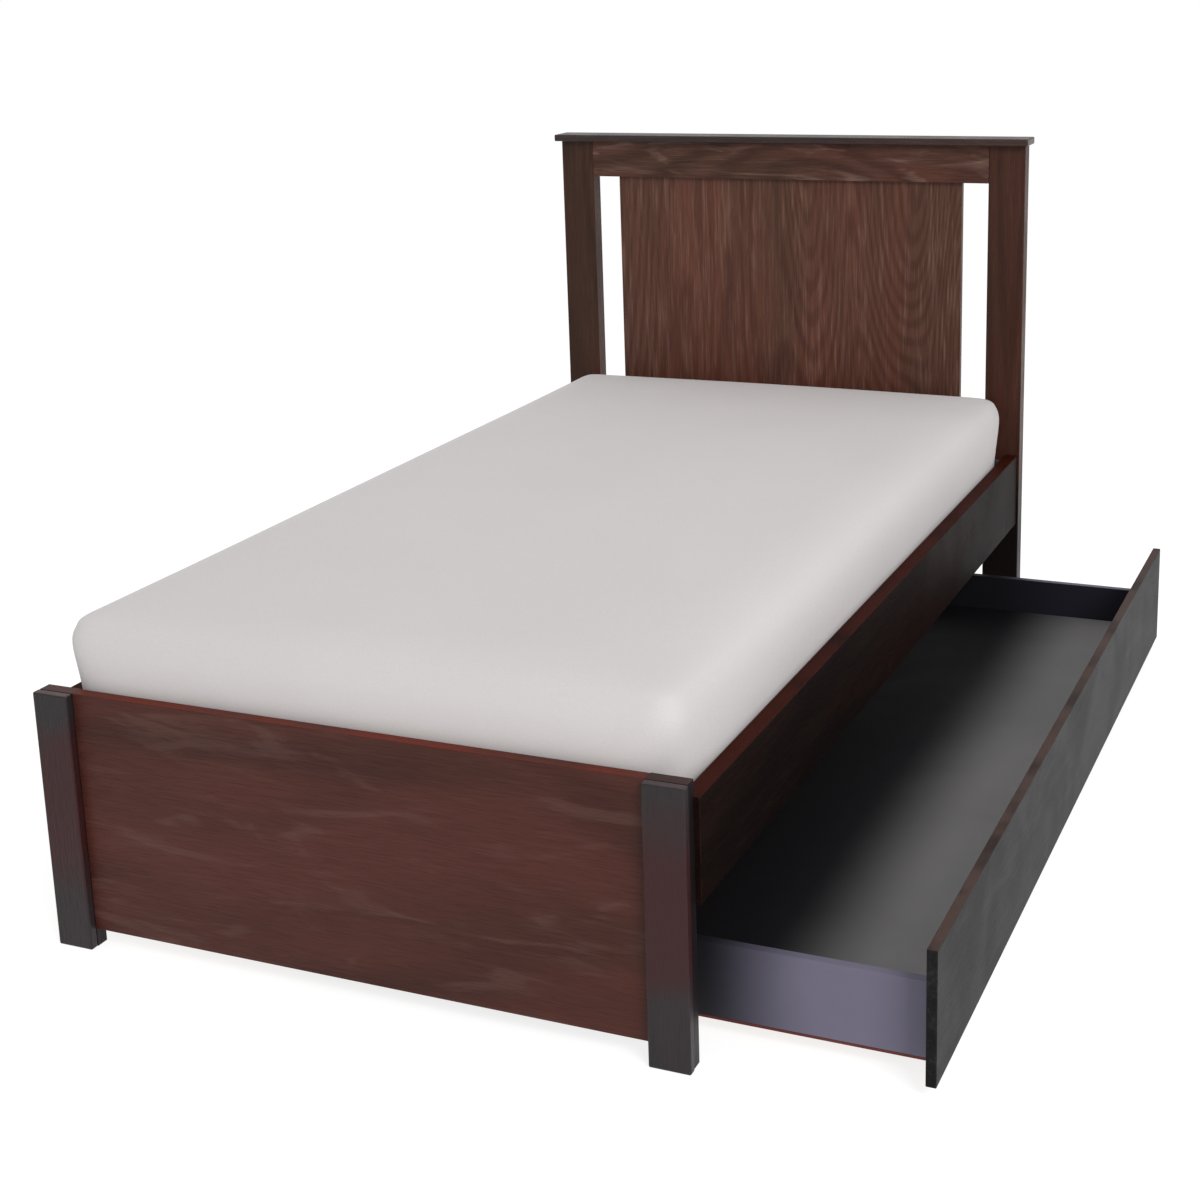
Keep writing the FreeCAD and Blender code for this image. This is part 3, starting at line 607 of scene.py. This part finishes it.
slat_finish = plain_wood(
    "slat_pine", "x", swatch(196, 160, 112), swatch(214, 182, 136), swatch(226, 202, 164),
    rings=(16.0, 0.3), offset=(1.0, 2.0, 3.0),
)
ledger_finish = plain_wood(
    "ledger_pine", "y", swatch(190, 152, 104), swatch(208, 174, 128), swatch(222, 196, 156),
    rings=(16.0, 0.3), offset=(4.0, 2.0, 1.0),
)
bearer_finish = plain_wood(
    "bearer_pine", "x", swatch(184, 148, 102), swatch(204, 170, 124), swatch(220, 194, 154),
    rings=(14.0, 0.35), offset=(7.0, 5.0, 1.0),
)
dowel_finish = plain_wood(
    "dowel_beech", "y", swatch(186, 146, 108), swatch(200, 164, 126), swatch(214, 184, 150),
    rings=(10.0, 0.15), offset=(2.0, 8.0, 1.0),
)

# %% [markdown]
# ### Inside the drawer
#
# The box of the drawer is sprayed board, not solid wood. The bed's shade is painted into its
# colour: full at the back and thinning out towards the front, so the floor goes from black under
# the bed to a neutral grey behind the drawer front, and the walls from black to a cool lilac
# grey. Lamps could give that shade too, but then the drawer would change its colour as it rolls.
# So the painted shade belongs to the board: a group with two ends, given as distances across
# the bed.

# %% Painted shade group


def make_painted_shade_group():
    """Painted shade: a mask from 1 at the dark end to 0 at the lit end, across the bed."""
    inputs = [("Dark end", "Float", 0.3), ("Bare end", "Float", 0.7), ("Raggedness", "Float", 0.03)]
    group, given, out = new_group("painted shade fade", inputs, [("Painted shade", "Float")])
    across = group.nodes.new("ShaderNodeSeparateXYZ")
    feed(group, own_place(group), across.inputs[0])
    drift = sum_of(group, "SUBTRACT", cloudy(group, own_place(group), 3.0, detail=2.0), 0.5)
    ragged = sum_of(group, "MULTIPLY", drift, given["Raggedness"])
    place = sum_of(group, "ADD", across.outputs["X"], ragged)
    feed(group, between(group, place, given["Dark end"], given["Bare end"], 1.0, 0.0), out["Painted shade"])
    return group


painted_shade_fade = make_painted_shade_group()

# %% [markdown]
# What makes the board look real under the painted shade is the fine texture of the sprayed coat
# and the dust that lies in a drawer. The inner faces of the walls get a darker colour, which is
# painted shade inside the box. To find the inner faces of the two end walls, the normal is
# multiplied by the place: along the bed, a face that looks back to the middle has a normal and a
# place of opposite sign. A thin strip of red-brown lipping closes the lower edge of the end walls.

# %% Sprayed board
SPRAY_DEPTH = 0.08 * MM
SPRAY_SPECKS_PER_METRE = 1100.0
rail_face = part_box("side_rail_right")[1].x
drawer_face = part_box("drawer_front")[0].x
WALL_INSIDE_SHADE = swatch(34, 32, 42)


def sprayed_board(name, base, mottled, painted_shade_colour, fade, gloss, dust_amount, shine, painted_shade_inside=False):
    """Board with a mottled base colour, darkened by painted shade towards the back, under the bed."""
    material, tree, shader = new_finish(name, Specular_IOR_Level=shine)
    place = own_place(tree)
    mottle = between(tree, cloudy(tree, place, 5.0, detail=3.0, distortion=0.4), 0.32, 0.68)
    colour = blend_colours(tree, mottle, base, mottled)
    # Painted shade: the inner faces of the end walls get a darker colour.
    if painted_shade_inside:
        normal = tree.nodes.new("ShaderNodeNewGeometry").outputs["Normal"]
        leaning = vector_sum(tree, "MULTIPLY", normal, place)
        outward = vector_sum(tree, "DOT_PRODUCT", leaning, ALONG_BED)
        colour = blend_colours(tree, between(tree, outward, -0.5, -0.1), WALL_INSIDE_SHADE, colour)
    fine = cloudy(tree, place, SPRAY_SPECKS_PER_METRE, detail=1.0)
    dusty = use_group(tree, dust, Amount=dust_amount)["Dusty"]
    colour = blend_colours(tree, dusty, colour, DUST_ON_BOARD)
    # Painted shade: the colour fades to the shade colour towards the back of the drawer.
    dark = use_group(tree, painted_shade_fade, Dark_end=fade[0], Bare_end=fade[1])["Painted shade"]
    feed(tree, blend_colours(tree, dark, colour, painted_shade_colour), shader.inputs["Base Color"])
    coat = use_group(tree, lacquer, Gloss_low=gloss[0], Gloss_high=gloss[1])
    feed(tree, coat["Roughness"], shader.inputs["Roughness"])
    raise_bumps(tree, shader, sum_of(tree, "ADD", fine, coat["Height"]), SPRAY_DEPTH)
    print("sprayed board:", name)
    return material


# %% Drawer box finishes
# Painted shade: walls and floor darken towards the back, under the bed.
wall_finish = sprayed_board(
    "drawer_wall_lilac", swatch(100, 96, 114), swatch(106, 102, 120), painted_shade_colour=swatch(20, 19, 25),
    fade=(rail_face - 30 * MM, rail_face + 150 * MM), gloss=(0.46, 0.54), dust_amount=0.05,
    shine=0.2, painted_shade_inside=True,
)
floor_finish = sprayed_board(
    "drawer_floor_grey", swatch(142, 141, 141), swatch(148, 146, 146), painted_shade_colour=swatch(16, 15, 19),
    fade=(rail_face + 10 * MM, drawer_face + 10 * MM), gloss=(0.55, 0.62), dust_amount=0.1,
    shine=0.1,
)
lipping_finish = stained_wood(
    "drawer_lipping_stain", ("x", 0.1), swatch(90, 36, 30), swatch(120, 50, 42), swatch(130, 80, 66),
    streaks=0.2, offset=(0.1, 0.2, 0.3), wear=0.2,
)

# %% [markdown]
# ### Steel and nylon
#
# The corner angles and the wheel forks are pressed from zinc-plated sheet, the screws and the
# axles are turned. Plating has a faint spangle: patches that reflect a little differently. One
# flat metal colour would look painted on, so cells of a few millimetres vary it, and fine
# scratches run over them. The wheels are black moulded nylon with a fine matt grain, paler
# along their edges, and with dust on top.

# %% Plated steel
SPANGLES_PER_METRE = 320.0
SCRATCH_SQUEEZE = 0.04
SCRATCH_DEPTH = 0.05 * MM
EQUAL_PARTS = (0.33, 0.33, 0.33)


def plated_steel(name, bright, dull, gloss, scratches):
    """Zinc-plated or bright steel, with its scratches counted per metre."""
    material, tree, shader = new_finish(name, Metallic=1.0)
    place = own_place(tree)
    cells = tree.nodes.new("ShaderNodeTexVoronoi")
    cells.inputs["Scale"].default_value = SPANGLES_PER_METRE
    feed(tree, place, cells.inputs["Vector"])
    patch = vector_sum(tree, "DOT_PRODUCT", cells.outputs["Color"], EQUAL_PARTS)
    colour = blend_colours(tree, patch, dull, bright)
    dusty = use_group(tree, dust, Amount=0.4)["Dusty"]
    colour = blend_colours(tree, dusty, colour, DUST_ON_STEEL)
    feed(tree, colour, shader.inputs["Base Color"])
    squeezed = vector_sum(tree, "MULTIPLY", place, along("y", SCRATCH_SQUEEZE))
    scored = cloudy(tree, squeezed, scratches, detail=1.0)
    dulled = sum_of(tree, "MULTIPLY", dusty, 0.4)
    rough = sum_of(tree, "ADD", between(tree, patch, 0.2, 0.8, *gloss), dulled)
    feed(tree, rough, shader.inputs["Roughness"])
    raise_bumps(tree, shader, scored, SCRATCH_DEPTH)
    print("plated steel:", name)
    return material


# %% Moulded nylon
NYLON_GRAINS_PER_METRE = 1500.0
NYLON_DEPTH = 0.06 * MM


def moulded_nylon(name, base, rubbed):
    """Black nylon, paler along its edges."""
    material, tree, shader = new_finish(name, Specular_IOR_Level=0.45)
    place = own_place(tree)
    worn = use_group(tree, edge_wear, Width=1.5 * MM, Amount=0.8)["Worn"]
    colour = blend_colours(tree, worn, base, rubbed)
    dusty = use_group(tree, dust, Amount=0.5)["Dusty"]
    feed(tree, blend_colours(tree, dusty, colour, DUST_ON_NYLON), shader.inputs["Base Color"])
    grained = cloudy(tree, place, NYLON_GRAINS_PER_METRE, detail=2.0)
    feed(tree, between(tree, grained, 0.3, 0.7, 0.42, 0.6), shader.inputs["Roughness"])
    raise_bumps(tree, shader, grained, NYLON_DEPTH)
    print("moulded nylon:", name)
    return material


# %% Finishes for the fittings
screw_finish = plated_steel(
    "screw_zinc", swatch(196, 194, 186), swatch(158, 156, 150), gloss=(0.24, 0.36), scratches=900.0
)
angle_finish = plated_steel(
    "angle_zinc", swatch(188, 190, 192), swatch(150, 152, 156), gloss=(0.3, 0.46), scratches=700.0
)
fork_finish = plated_steel(
    "fork_zinc", swatch(184, 186, 188), swatch(146, 148, 152), gloss=(0.3, 0.44), scratches=800.0
)
axle_finish = plated_steel(
    "axle_steel_bright", swatch(200, 200, 200), swatch(170, 170, 170), gloss=(0.18, 0.28), scratches=1200.0
)
wheel_finish = moulded_nylon("wheel_nylon_black", swatch(30, 30, 32), swatch(62, 60, 58))

# %% [markdown]
# ## Dressing the frame
#
# The boards keep their meshes and only change their finish. Each could get its own line of
# code, but a table from the start of a piece's name to its finish says the same at a glance. The
# longest matching start wins, so the wheels can be nylon while their axles are steel.

# %% Finishes by piece
FINISHES = {
    "headboard_stile": upright_finish,
    "headboard_top_rail": level_finish,
    "headboard_low_rail": level_finish,
    "headboard_panel": panel_finish,
    "headboard_cap": cap_finish,
    "foot_post_face": post_finish,
    "foot_post_block": block_finish,
    "footboard_panel": footboard_finish,
    "side_rail": rail_finish,
    "slat_": slat_finish,
    "slat_ledger": ledger_finish,
    "slat_and_ledger_screws": screw_finish,
    "corner_angle": angle_finish,
    "corner_angle_screws": screw_finish,
    "caster_screws": screw_finish,
    "bed_dowels": dowel_finish,
    "drawer_dowels": dowel_finish,
    "drawer_front": drawer_face_finish,
    "drawer_back": wall_finish,
    "drawer_foot_wall": wall_finish,
    "drawer_head_wall": wall_finish,
    "drawer_foot_wall_lipping": lipping_finish,
    "drawer_head_wall_lipping": lipping_finish,
    "drawer_floor": floor_finish,
    "drawer_front_cleat": bearer_finish,
    "drawer_back_cleat": bearer_finish,
    "drawer_foot_bearer": bearer_finish,
    "drawer_middle_bearer": bearer_finish,
    "drawer_head_bearer": bearer_finish,
    "fork_": fork_finish,
    "wheel_": wheel_finish,
    "wheel_axles": axle_finish,
}


def dress(nodes):
    """Puts a finish into the material slots of each piece that the table names."""
    dressed = 0
    for name, node in nodes.items():
        starts = [start for start in FINISHES if name.startswith(start)]
        if not starts:
            continue
        for place in node.material_slots:
            place.material = FINISHES[max(starts, key=len)]
        dressed += 1
    print("dressed", dressed, "of", len(nodes), "pieces")


dress(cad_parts)

# %% [markdown]
# ## The mattress
#
# A mattress in a stretch cover is a block that has been filled tight. Its top is nearly flat
# with a soft crown, and its upper edges roll over in a wide curve. The sides stand out a little
# over the rails, and below that they pull in again towards the slats, where the rails hold them.
#
# A bevelled box would have the rolled edge but would stay dead flat between the edges. So the
# block is only the start: it is remeshed into even squares, rolled and pulled in by a formula,
# and then pumped up for a moment as cloth under pressure. The swelling is capped, since the
# filling hardly gives, and whatever would touch the boards or the slats is held back.

# %% Mattress measures
VOXEL = 15 * MM
TOP_RISE = 4 * MM
ROLL_ACROSS = 38 * MM
ROLL_DOWN = 46 * MM
PLAN_CORNER = 40 * MM
UNDER_ROLL = 10 * MM
SIDE_BULGE = 6 * MM
SIDE_PULL = 12 * MM
END_BULGE = 1 * MM
END_PULL = 3 * MM
PULL_HEIGHT = 125 * MM
PRESSURE = 4.0
COVER_STIFFNESS = 2000
COVER_BENDING = 10
POINT_MASS = 0.3
CLOTH_QUALITY = 5
CLOTH_FRAMES = 8
MOST_SWELL = 12 * MM
CLEAR = 2 * MM

mattress_low, mattress_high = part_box("mattress")
print("the mattress fills", [round(size, 3) for size in mattress_high - mattress_low], "metres")

# %% Mattress block


def block_mesh(low, high):
    """A plain block, remeshed into even squares."""
    mesh = bpy.data.meshes.new("mattress_block")
    solid = bmesh.new()
    bmesh.ops.create_cube(solid, size=1.0)
    for corner in solid.verts:
        sides = zip(corner.co, low, high)
        corner.co = Vector(far if side > 0 else near for side, near, far in sides)
    solid.to_mesh(mesh)
    solid.free()
    block = bpy.data.objects.new("mattress_block", mesh)
    bpy.context.scene.collection.objects.link(block)
    remesh = block.modifiers.new("even squares", "REMESH")
    remesh.mode = "VOXEL"
    remesh.voxel_size = VOXEL
    graph = bpy.context.evaluated_depsgraph_get()
    even = bpy.data.meshes.new_from_object(block.evaluated_get(graph))
    bpy.data.objects.remove(block)
    print("the block has", len(even.vertices), "points")
    return even


def read_points(mesh):
    """The mesh's points as rows of x, y and z."""
    points = np.empty(len(mesh.vertices) * 3)
    mesh.vertices.foreach_get("co", points)
    return points.reshape(-1, 3)


def write_points(mesh, points):
    """Puts rows of x, y and z back into the mesh."""
    mesh.vertices.foreach_set("co", points.ravel())
    mesh.update()


# %% [markdown]
# ### Rolling the edges over
#
# A bevel would round every edge with one radius. On the mattress the upper edge rolls over in
# a wide quarter oval, the lower edge is tight, and the four corners are round as seen from
# above, so a formula moves the points instead. A point on a flat side stays where it is, and a
# point near an edge is drawn in until it lies on the curve.

# %% Rolled edges


def roll_edges(points, low, high):
    """Rounds the block: wide over the top edge, tight under it, and round in plan at the corners."""
    middle, half = (low + high) / 2, (high - low) / 2
    offset = points - middle
    upper = offset[:, 2] > 0
    # How far the roll reaches down the side and in over the top or the underside.
    down = np.where(upper, ROLL_DOWN, UNDER_ROLL)
    across = np.where(upper, ROLL_ACROSS, UNDER_ROLL)
    # Seen from above: what is past the core goes onto a quarter circle round its corner.
    plan_core = half[:2] - PLAN_CORNER
    plan_past = offset[:, :2] - np.clip(offset[:, :2], -plan_core, plan_core)
    plan_far = np.linalg.norm(plan_past, axis=1)
    flat_reach = np.max(np.abs(plan_past), axis=1)
    rounded = np.where(plan_far > 0, np.minimum(1.0, flat_reach / np.maximum(plan_far, MM)), 1.0)
    offset[:, :2] -= plan_past * (1 - rounded)[:, None]
    # Seen from the end: near the edge both distances shrink together, onto a quarter oval.
    edge = PLAN_CORNER - np.minimum(plan_far * rounded, PLAN_CORNER)
    inward = np.clip(1 - edge / across, 0, 1)
    below = half[2] - np.abs(offset[:, 2])
    outward = np.clip(1 - below / down, 0, 1)
    reach = np.hypot(inward, outward)
    flat = np.maximum(inward, outward)
    shrink = np.where(reach > 0, 1 - flat / np.maximum(reach, MM), 0.0)
    sign = np.sign(offset[:, 2])
    offset[:, 2] -= sign * shrink * outward * down
    heading = plan_past / np.maximum(plan_far, MM)[:, None]
    offset[:, :2] -= heading * (shrink * inward * across)[:, None]
    return middle + offset


# %% Sides drawn in


def pull_in(points, low, high):
    """Lets the sides stand out over the rails and draws them in below, and the ends by less."""
    middle, half = (low + high) / 2, (high - low) / 2
    depth = np.clip((high[2] - ROLL_DOWN - points[:, 2]) / PULL_HEIGHT, 0, 1)
    pull = np.sin(depth * math.pi / 2)
    for axis, bulge, most in ((0, SIDE_BULGE, SIDE_PULL), (1, END_BULGE, END_PULL)):
        share = np.clip((points[:, axis] - middle[axis]) / half[axis], -1, 1)
        points[:, axis] += np.sign(share) * np.abs(share) ** 3 * (bulge - pull * most)
    return points


# %% [markdown]
# ### Filling the cover
#
# A formula alone leaves the top too flat between its edges, so the block is pumped up as cloth
# for a moment. The cloth is run with no gravity, because the filling carries the cover. The
# frames are stepped one by one, the result is read from the last of them, and no cloth is left
# on the piece afterwards. The cap compares each point with where it started and lets it move
# only so far.

# %% Swelling


def swell(mesh):
    """Pumps the mesh up as cloth, and gives back its points, each moved by no more than the cap."""
    start = read_points(mesh)
    bladder = bpy.data.objects.new("mattress_bladder", mesh.copy())
    bpy.context.scene.collection.objects.link(bladder)
    cloth = bladder.modifiers.new("stretch cover", "CLOTH")
    cloth.settings.quality = CLOTH_QUALITY
    cloth.settings.mass = POINT_MASS
    cloth.settings.tension_stiffness = COVER_STIFFNESS
    cloth.settings.compression_stiffness = COVER_STIFFNESS
    cloth.settings.shear_stiffness = COVER_STIFFNESS / 4
    cloth.settings.bending_stiffness = COVER_BENDING
    cloth.settings.use_pressure = True
    cloth.settings.uniform_pressure_force = PRESSURE
    cloth.settings.effector_weights.gravity = 0
    cloth.collision_settings.use_collision = False
    scene = bpy.context.scene
    for number in range(1, CLOTH_FRAMES + 1):
        scene.frame_set(number)
    graph = bpy.context.evaluated_depsgraph_get()
    swollen = bpy.data.meshes.new_from_object(bladder.evaluated_get(graph))
    moved = read_points(swollen) - start
    scene.frame_set(1)
    bpy.data.objects.remove(bladder)
    length = np.linalg.norm(moved, axis=1)
    held = moved * np.minimum(1.0, MOST_SWELL / np.maximum(length, MM * MM))[:, None]
    most = round(float(length.max()) / MM, 1)
    print("the cover swelled by up to", most, "mm, held to", MOST_SWELL / MM)
    return start + held


# %% Room for the boards


def keep_clear(points):
    """Holds the mattress off the slats, the rails and the two end boards."""
    slat_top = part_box("slat_01")[1].z
    rail_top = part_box("side_rail_left")[1].z
    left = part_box("side_rail_left")[1].x + CLEAR
    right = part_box("side_rail_right")[0].x - CLEAR
    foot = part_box("footboard_panel")[1].y + CLEAR
    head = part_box("headboard_stile_left")[0].y - CLEAR
    points[:, 2] = np.maximum(points[:, 2], slat_top + MM)
    between_rails = points[:, 2] < rail_top
    points[between_rails, 0] = np.clip(points[between_rails, 0], left, right)
    points[:, 1] = np.clip(points[:, 1], foot, head)
    return points


# %% [markdown]
# ### The finished mattress
#
# Everything comes together here. The squares leave faint ridges where the cover curves, so the
# mesh is eased a little and then subdivided once, which costs less than cloth on finer squares.
# The mattress rides with the bed frame and takes the place of the plain block.

# %% Mattress piece


def make_mattress(low, high):
    """The finished mattress, eased and subdivided once, between two corners of its space."""
    low, high = np.array(low), np.array(high) + (0, 0, TOP_RISE)
    mesh = block_mesh(low, high)
    write_points(mesh, pull_in(roll_edges(read_points(mesh), low, high), low, high))
    write_points(mesh, keep_clear(swell(mesh)))
    mesh.polygons.foreach_set("use_smooth", [True] * len(mesh.polygons))
    piece = bpy.data.objects.new("mattress_in_cover", mesh)
    bpy.context.scene.collection.objects.link(piece)
    smooth = piece.modifiers.new("ease", "SMOOTH")
    smooth.factor = 0.5
    smooth.iterations = 4
    finer = piece.modifiers.new("finer", "SUBSURF")
    finer.levels = 1
    finer.render_levels = 1
    return piece


mattress = make_mattress(mattress_low, mattress_high)
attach(mattress, "bed_frame")
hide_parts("mattress")

# %% [markdown]
# ## The mattress cover
#
# The cover is a fine stretch knit, warm white and quite plain. From a few steps away all that
# shows is that it takes light softly and has no gloss. Close up there are loops, one or two
# millimetres apart. They could be drawn with two crossed waves, but those need a flat map of
# the surface, and a remeshed block has none. Small cells in space look like loops from every
# side.
# A sheen on the shader gives the pale rim that short fibres give a rolled edge.

# %% Knit group
LOOPS_PER_METRE = 700.0
LOOP_DEPTH = 0.12 * MM


def make_knit_group():
    """Colour and relief of a fine knit, with no map of the surface."""
    inputs = [
        ("Loops per metre", "Float", LOOPS_PER_METRE),
        ("Yarn", "Color", swatch(202, 198, 197)),
        ("Between yarn", "Color", swatch(190, 186, 185)),
    ]
    outputs = [("Color", "Color"), ("Height", "Float")]
    group, given, out = new_group("knit", inputs, outputs)
    place = own_place(group)
    cells = group.nodes.new("ShaderNodeTexVoronoi")
    feed(group, vector_sum(group, "MULTIPLY", place, (1.0, 0.6, 1.0)), cells.inputs["Vector"])
    feed(group, given["Loops per metre"], cells.inputs["Scale"])
    loop = between(group, cells.outputs["Distance"], 0.1, 0.7)
    clouds = between(group, cloudy(group, place, 3.0, detail=3.0), 0.3, 0.7, 0.0, 0.3)
    sunken = sum_of(group, "MULTIPLY", loop, 0.6)
    colour = blend_colours(group, sunken, given["Yarn"], given["Between yarn"])
    colour = blend_colours(group, clouds, colour, given["Between yarn"])
    feed(group, colour, out["Color"])
    feed(group, sum_of(group, "SUBTRACT", 1.0, loop), out["Height"])
    return group


knit = make_knit_group()

# %% Cover finish


def cover_finish():
    """The knit on a soft, matt shader with a little sheen."""
    material, tree, shader = new_finish(
        "mattress_knit", Sheen_Weight=0.25, Sheen_Roughness=0.4, Specular_IOR_Level=0.3
    )
    loops = use_group(tree, knit)
    feed(tree, loops["Color"], shader.inputs["Base Color"])
    softness = cloudy(tree, own_place(tree), 5.0, detail=2.0)
    feed(tree, between(tree, softness, 0.3, 0.7, 0.7, 0.82), shader.inputs["Roughness"])
    raise_bumps(tree, shader, loops["Height"], LOOP_DEPTH)
    return material


mattress.data.materials.append(cover_finish())
print("mattress cover done")

# %% [markdown]
# ## Floor and light
#
# Furniture in a catalogue stands on white ground with hardly a shadow. A plain white floor
# would turn grey wherever the lamps are far away, so this one is a mid grey that gives off most
# of its brightness itself: it looks white all over and its shadows stay soft. A large soft lamp
# hangs over the head end. A stronger one stands high off the front right corner, where it
# shines onto the rolled edges of the mattress and makes them the palest part of it.

# %% Floor
FLOOR_REACH = 120.0
FLOOR_GLOW = 0.8
FLOOR_GREY = (0.32, 0.32, 0.32, 1.0)
WHITE = (1.0, 1.0, 1.0, 1.0)


def make_floor():
    """A wide floor that the export leaves out."""
    mesh = bpy.data.meshes.new("floor")
    grid = bmesh.new()
    bmesh.ops.create_grid(grid, x_segments=8, y_segments=8, size=FLOOR_REACH)
    grid.to_mesh(mesh)
    grid.free()
    floor = bpy.data.objects.new("floor", mesh)
    bpy.context.scene.collection.objects.link(floor)
    material, tree, shader = new_finish(
        "pale_floor", Roughness=0.9, Specular_IOR_Level=0.0,
        Base_Color=FLOOR_GREY, Emission_Color=WHITE, Emission_Strength=FLOOR_GLOW,
    )
    mesh.materials.append(material)


make_floor()
print("the floor reaches", FLOOR_REACH, "metres each way")

# %% Lamps and world
WORLD_LIGHT = 0.62


def make_lamp(name, place, aim, size, power):
    """A soft lamp that hangs at its place and shines at its aim."""
    data = bpy.data.lights.new(name, "AREA")
    data.shape = "RECTANGLE"
    data.size, data.size_y = size
    data.energy = power
    lamp = bpy.data.objects.new(name, data)
    bpy.context.scene.collection.objects.link(lamp)
    lamp.location = place
    lamp.rotation_mode = "QUATERNION"
    lamp.rotation_quaternion = (Vector(aim) - Vector(place)).to_track_quat("-Z", "Y")
    print("lamp", name, power, "W")


def make_world():
    """Even light from all round, with plain white behind the bed."""
    world = bpy.data.worlds.new("studio")
    world.use_nodes = True
    tree = world.node_tree
    light = tree.nodes["Background"]
    light.inputs["Color"].default_value = WHITE
    light.inputs["Strength"].default_value = WORLD_LIGHT
    seen = tree.nodes.new("ShaderNodeBackground")
    seen.inputs["Color"].default_value = WHITE
    choose = tree.nodes.new("ShaderNodeMixShader")
    ray = tree.nodes.new("ShaderNodeLightPath")
    tree.links.new(ray.outputs["Is Camera Ray"], choose.inputs[0])
    tree.links.new(light.outputs[0], choose.inputs[1])
    tree.links.new(seen.outputs[0], choose.inputs[2])
    tree.links.new(choose.outputs[0], tree.nodes["World Output"].inputs["Surface"])
    bpy.context.scene.world = world
    bpy.context.scene.view_settings.view_transform = "Standard"


make_lamp("overhead", place=(-0.6, 0.8, 3.6), aim=(-0.2, 0.6, 0.0), size=(3.0, 3.0), power=24.0)
make_lamp("corner", place=(4.2, -4.2, 4.4), aim=(0.0, 0.0, 0.4), size=(2.4, 2.4), power=260.0)
make_world()
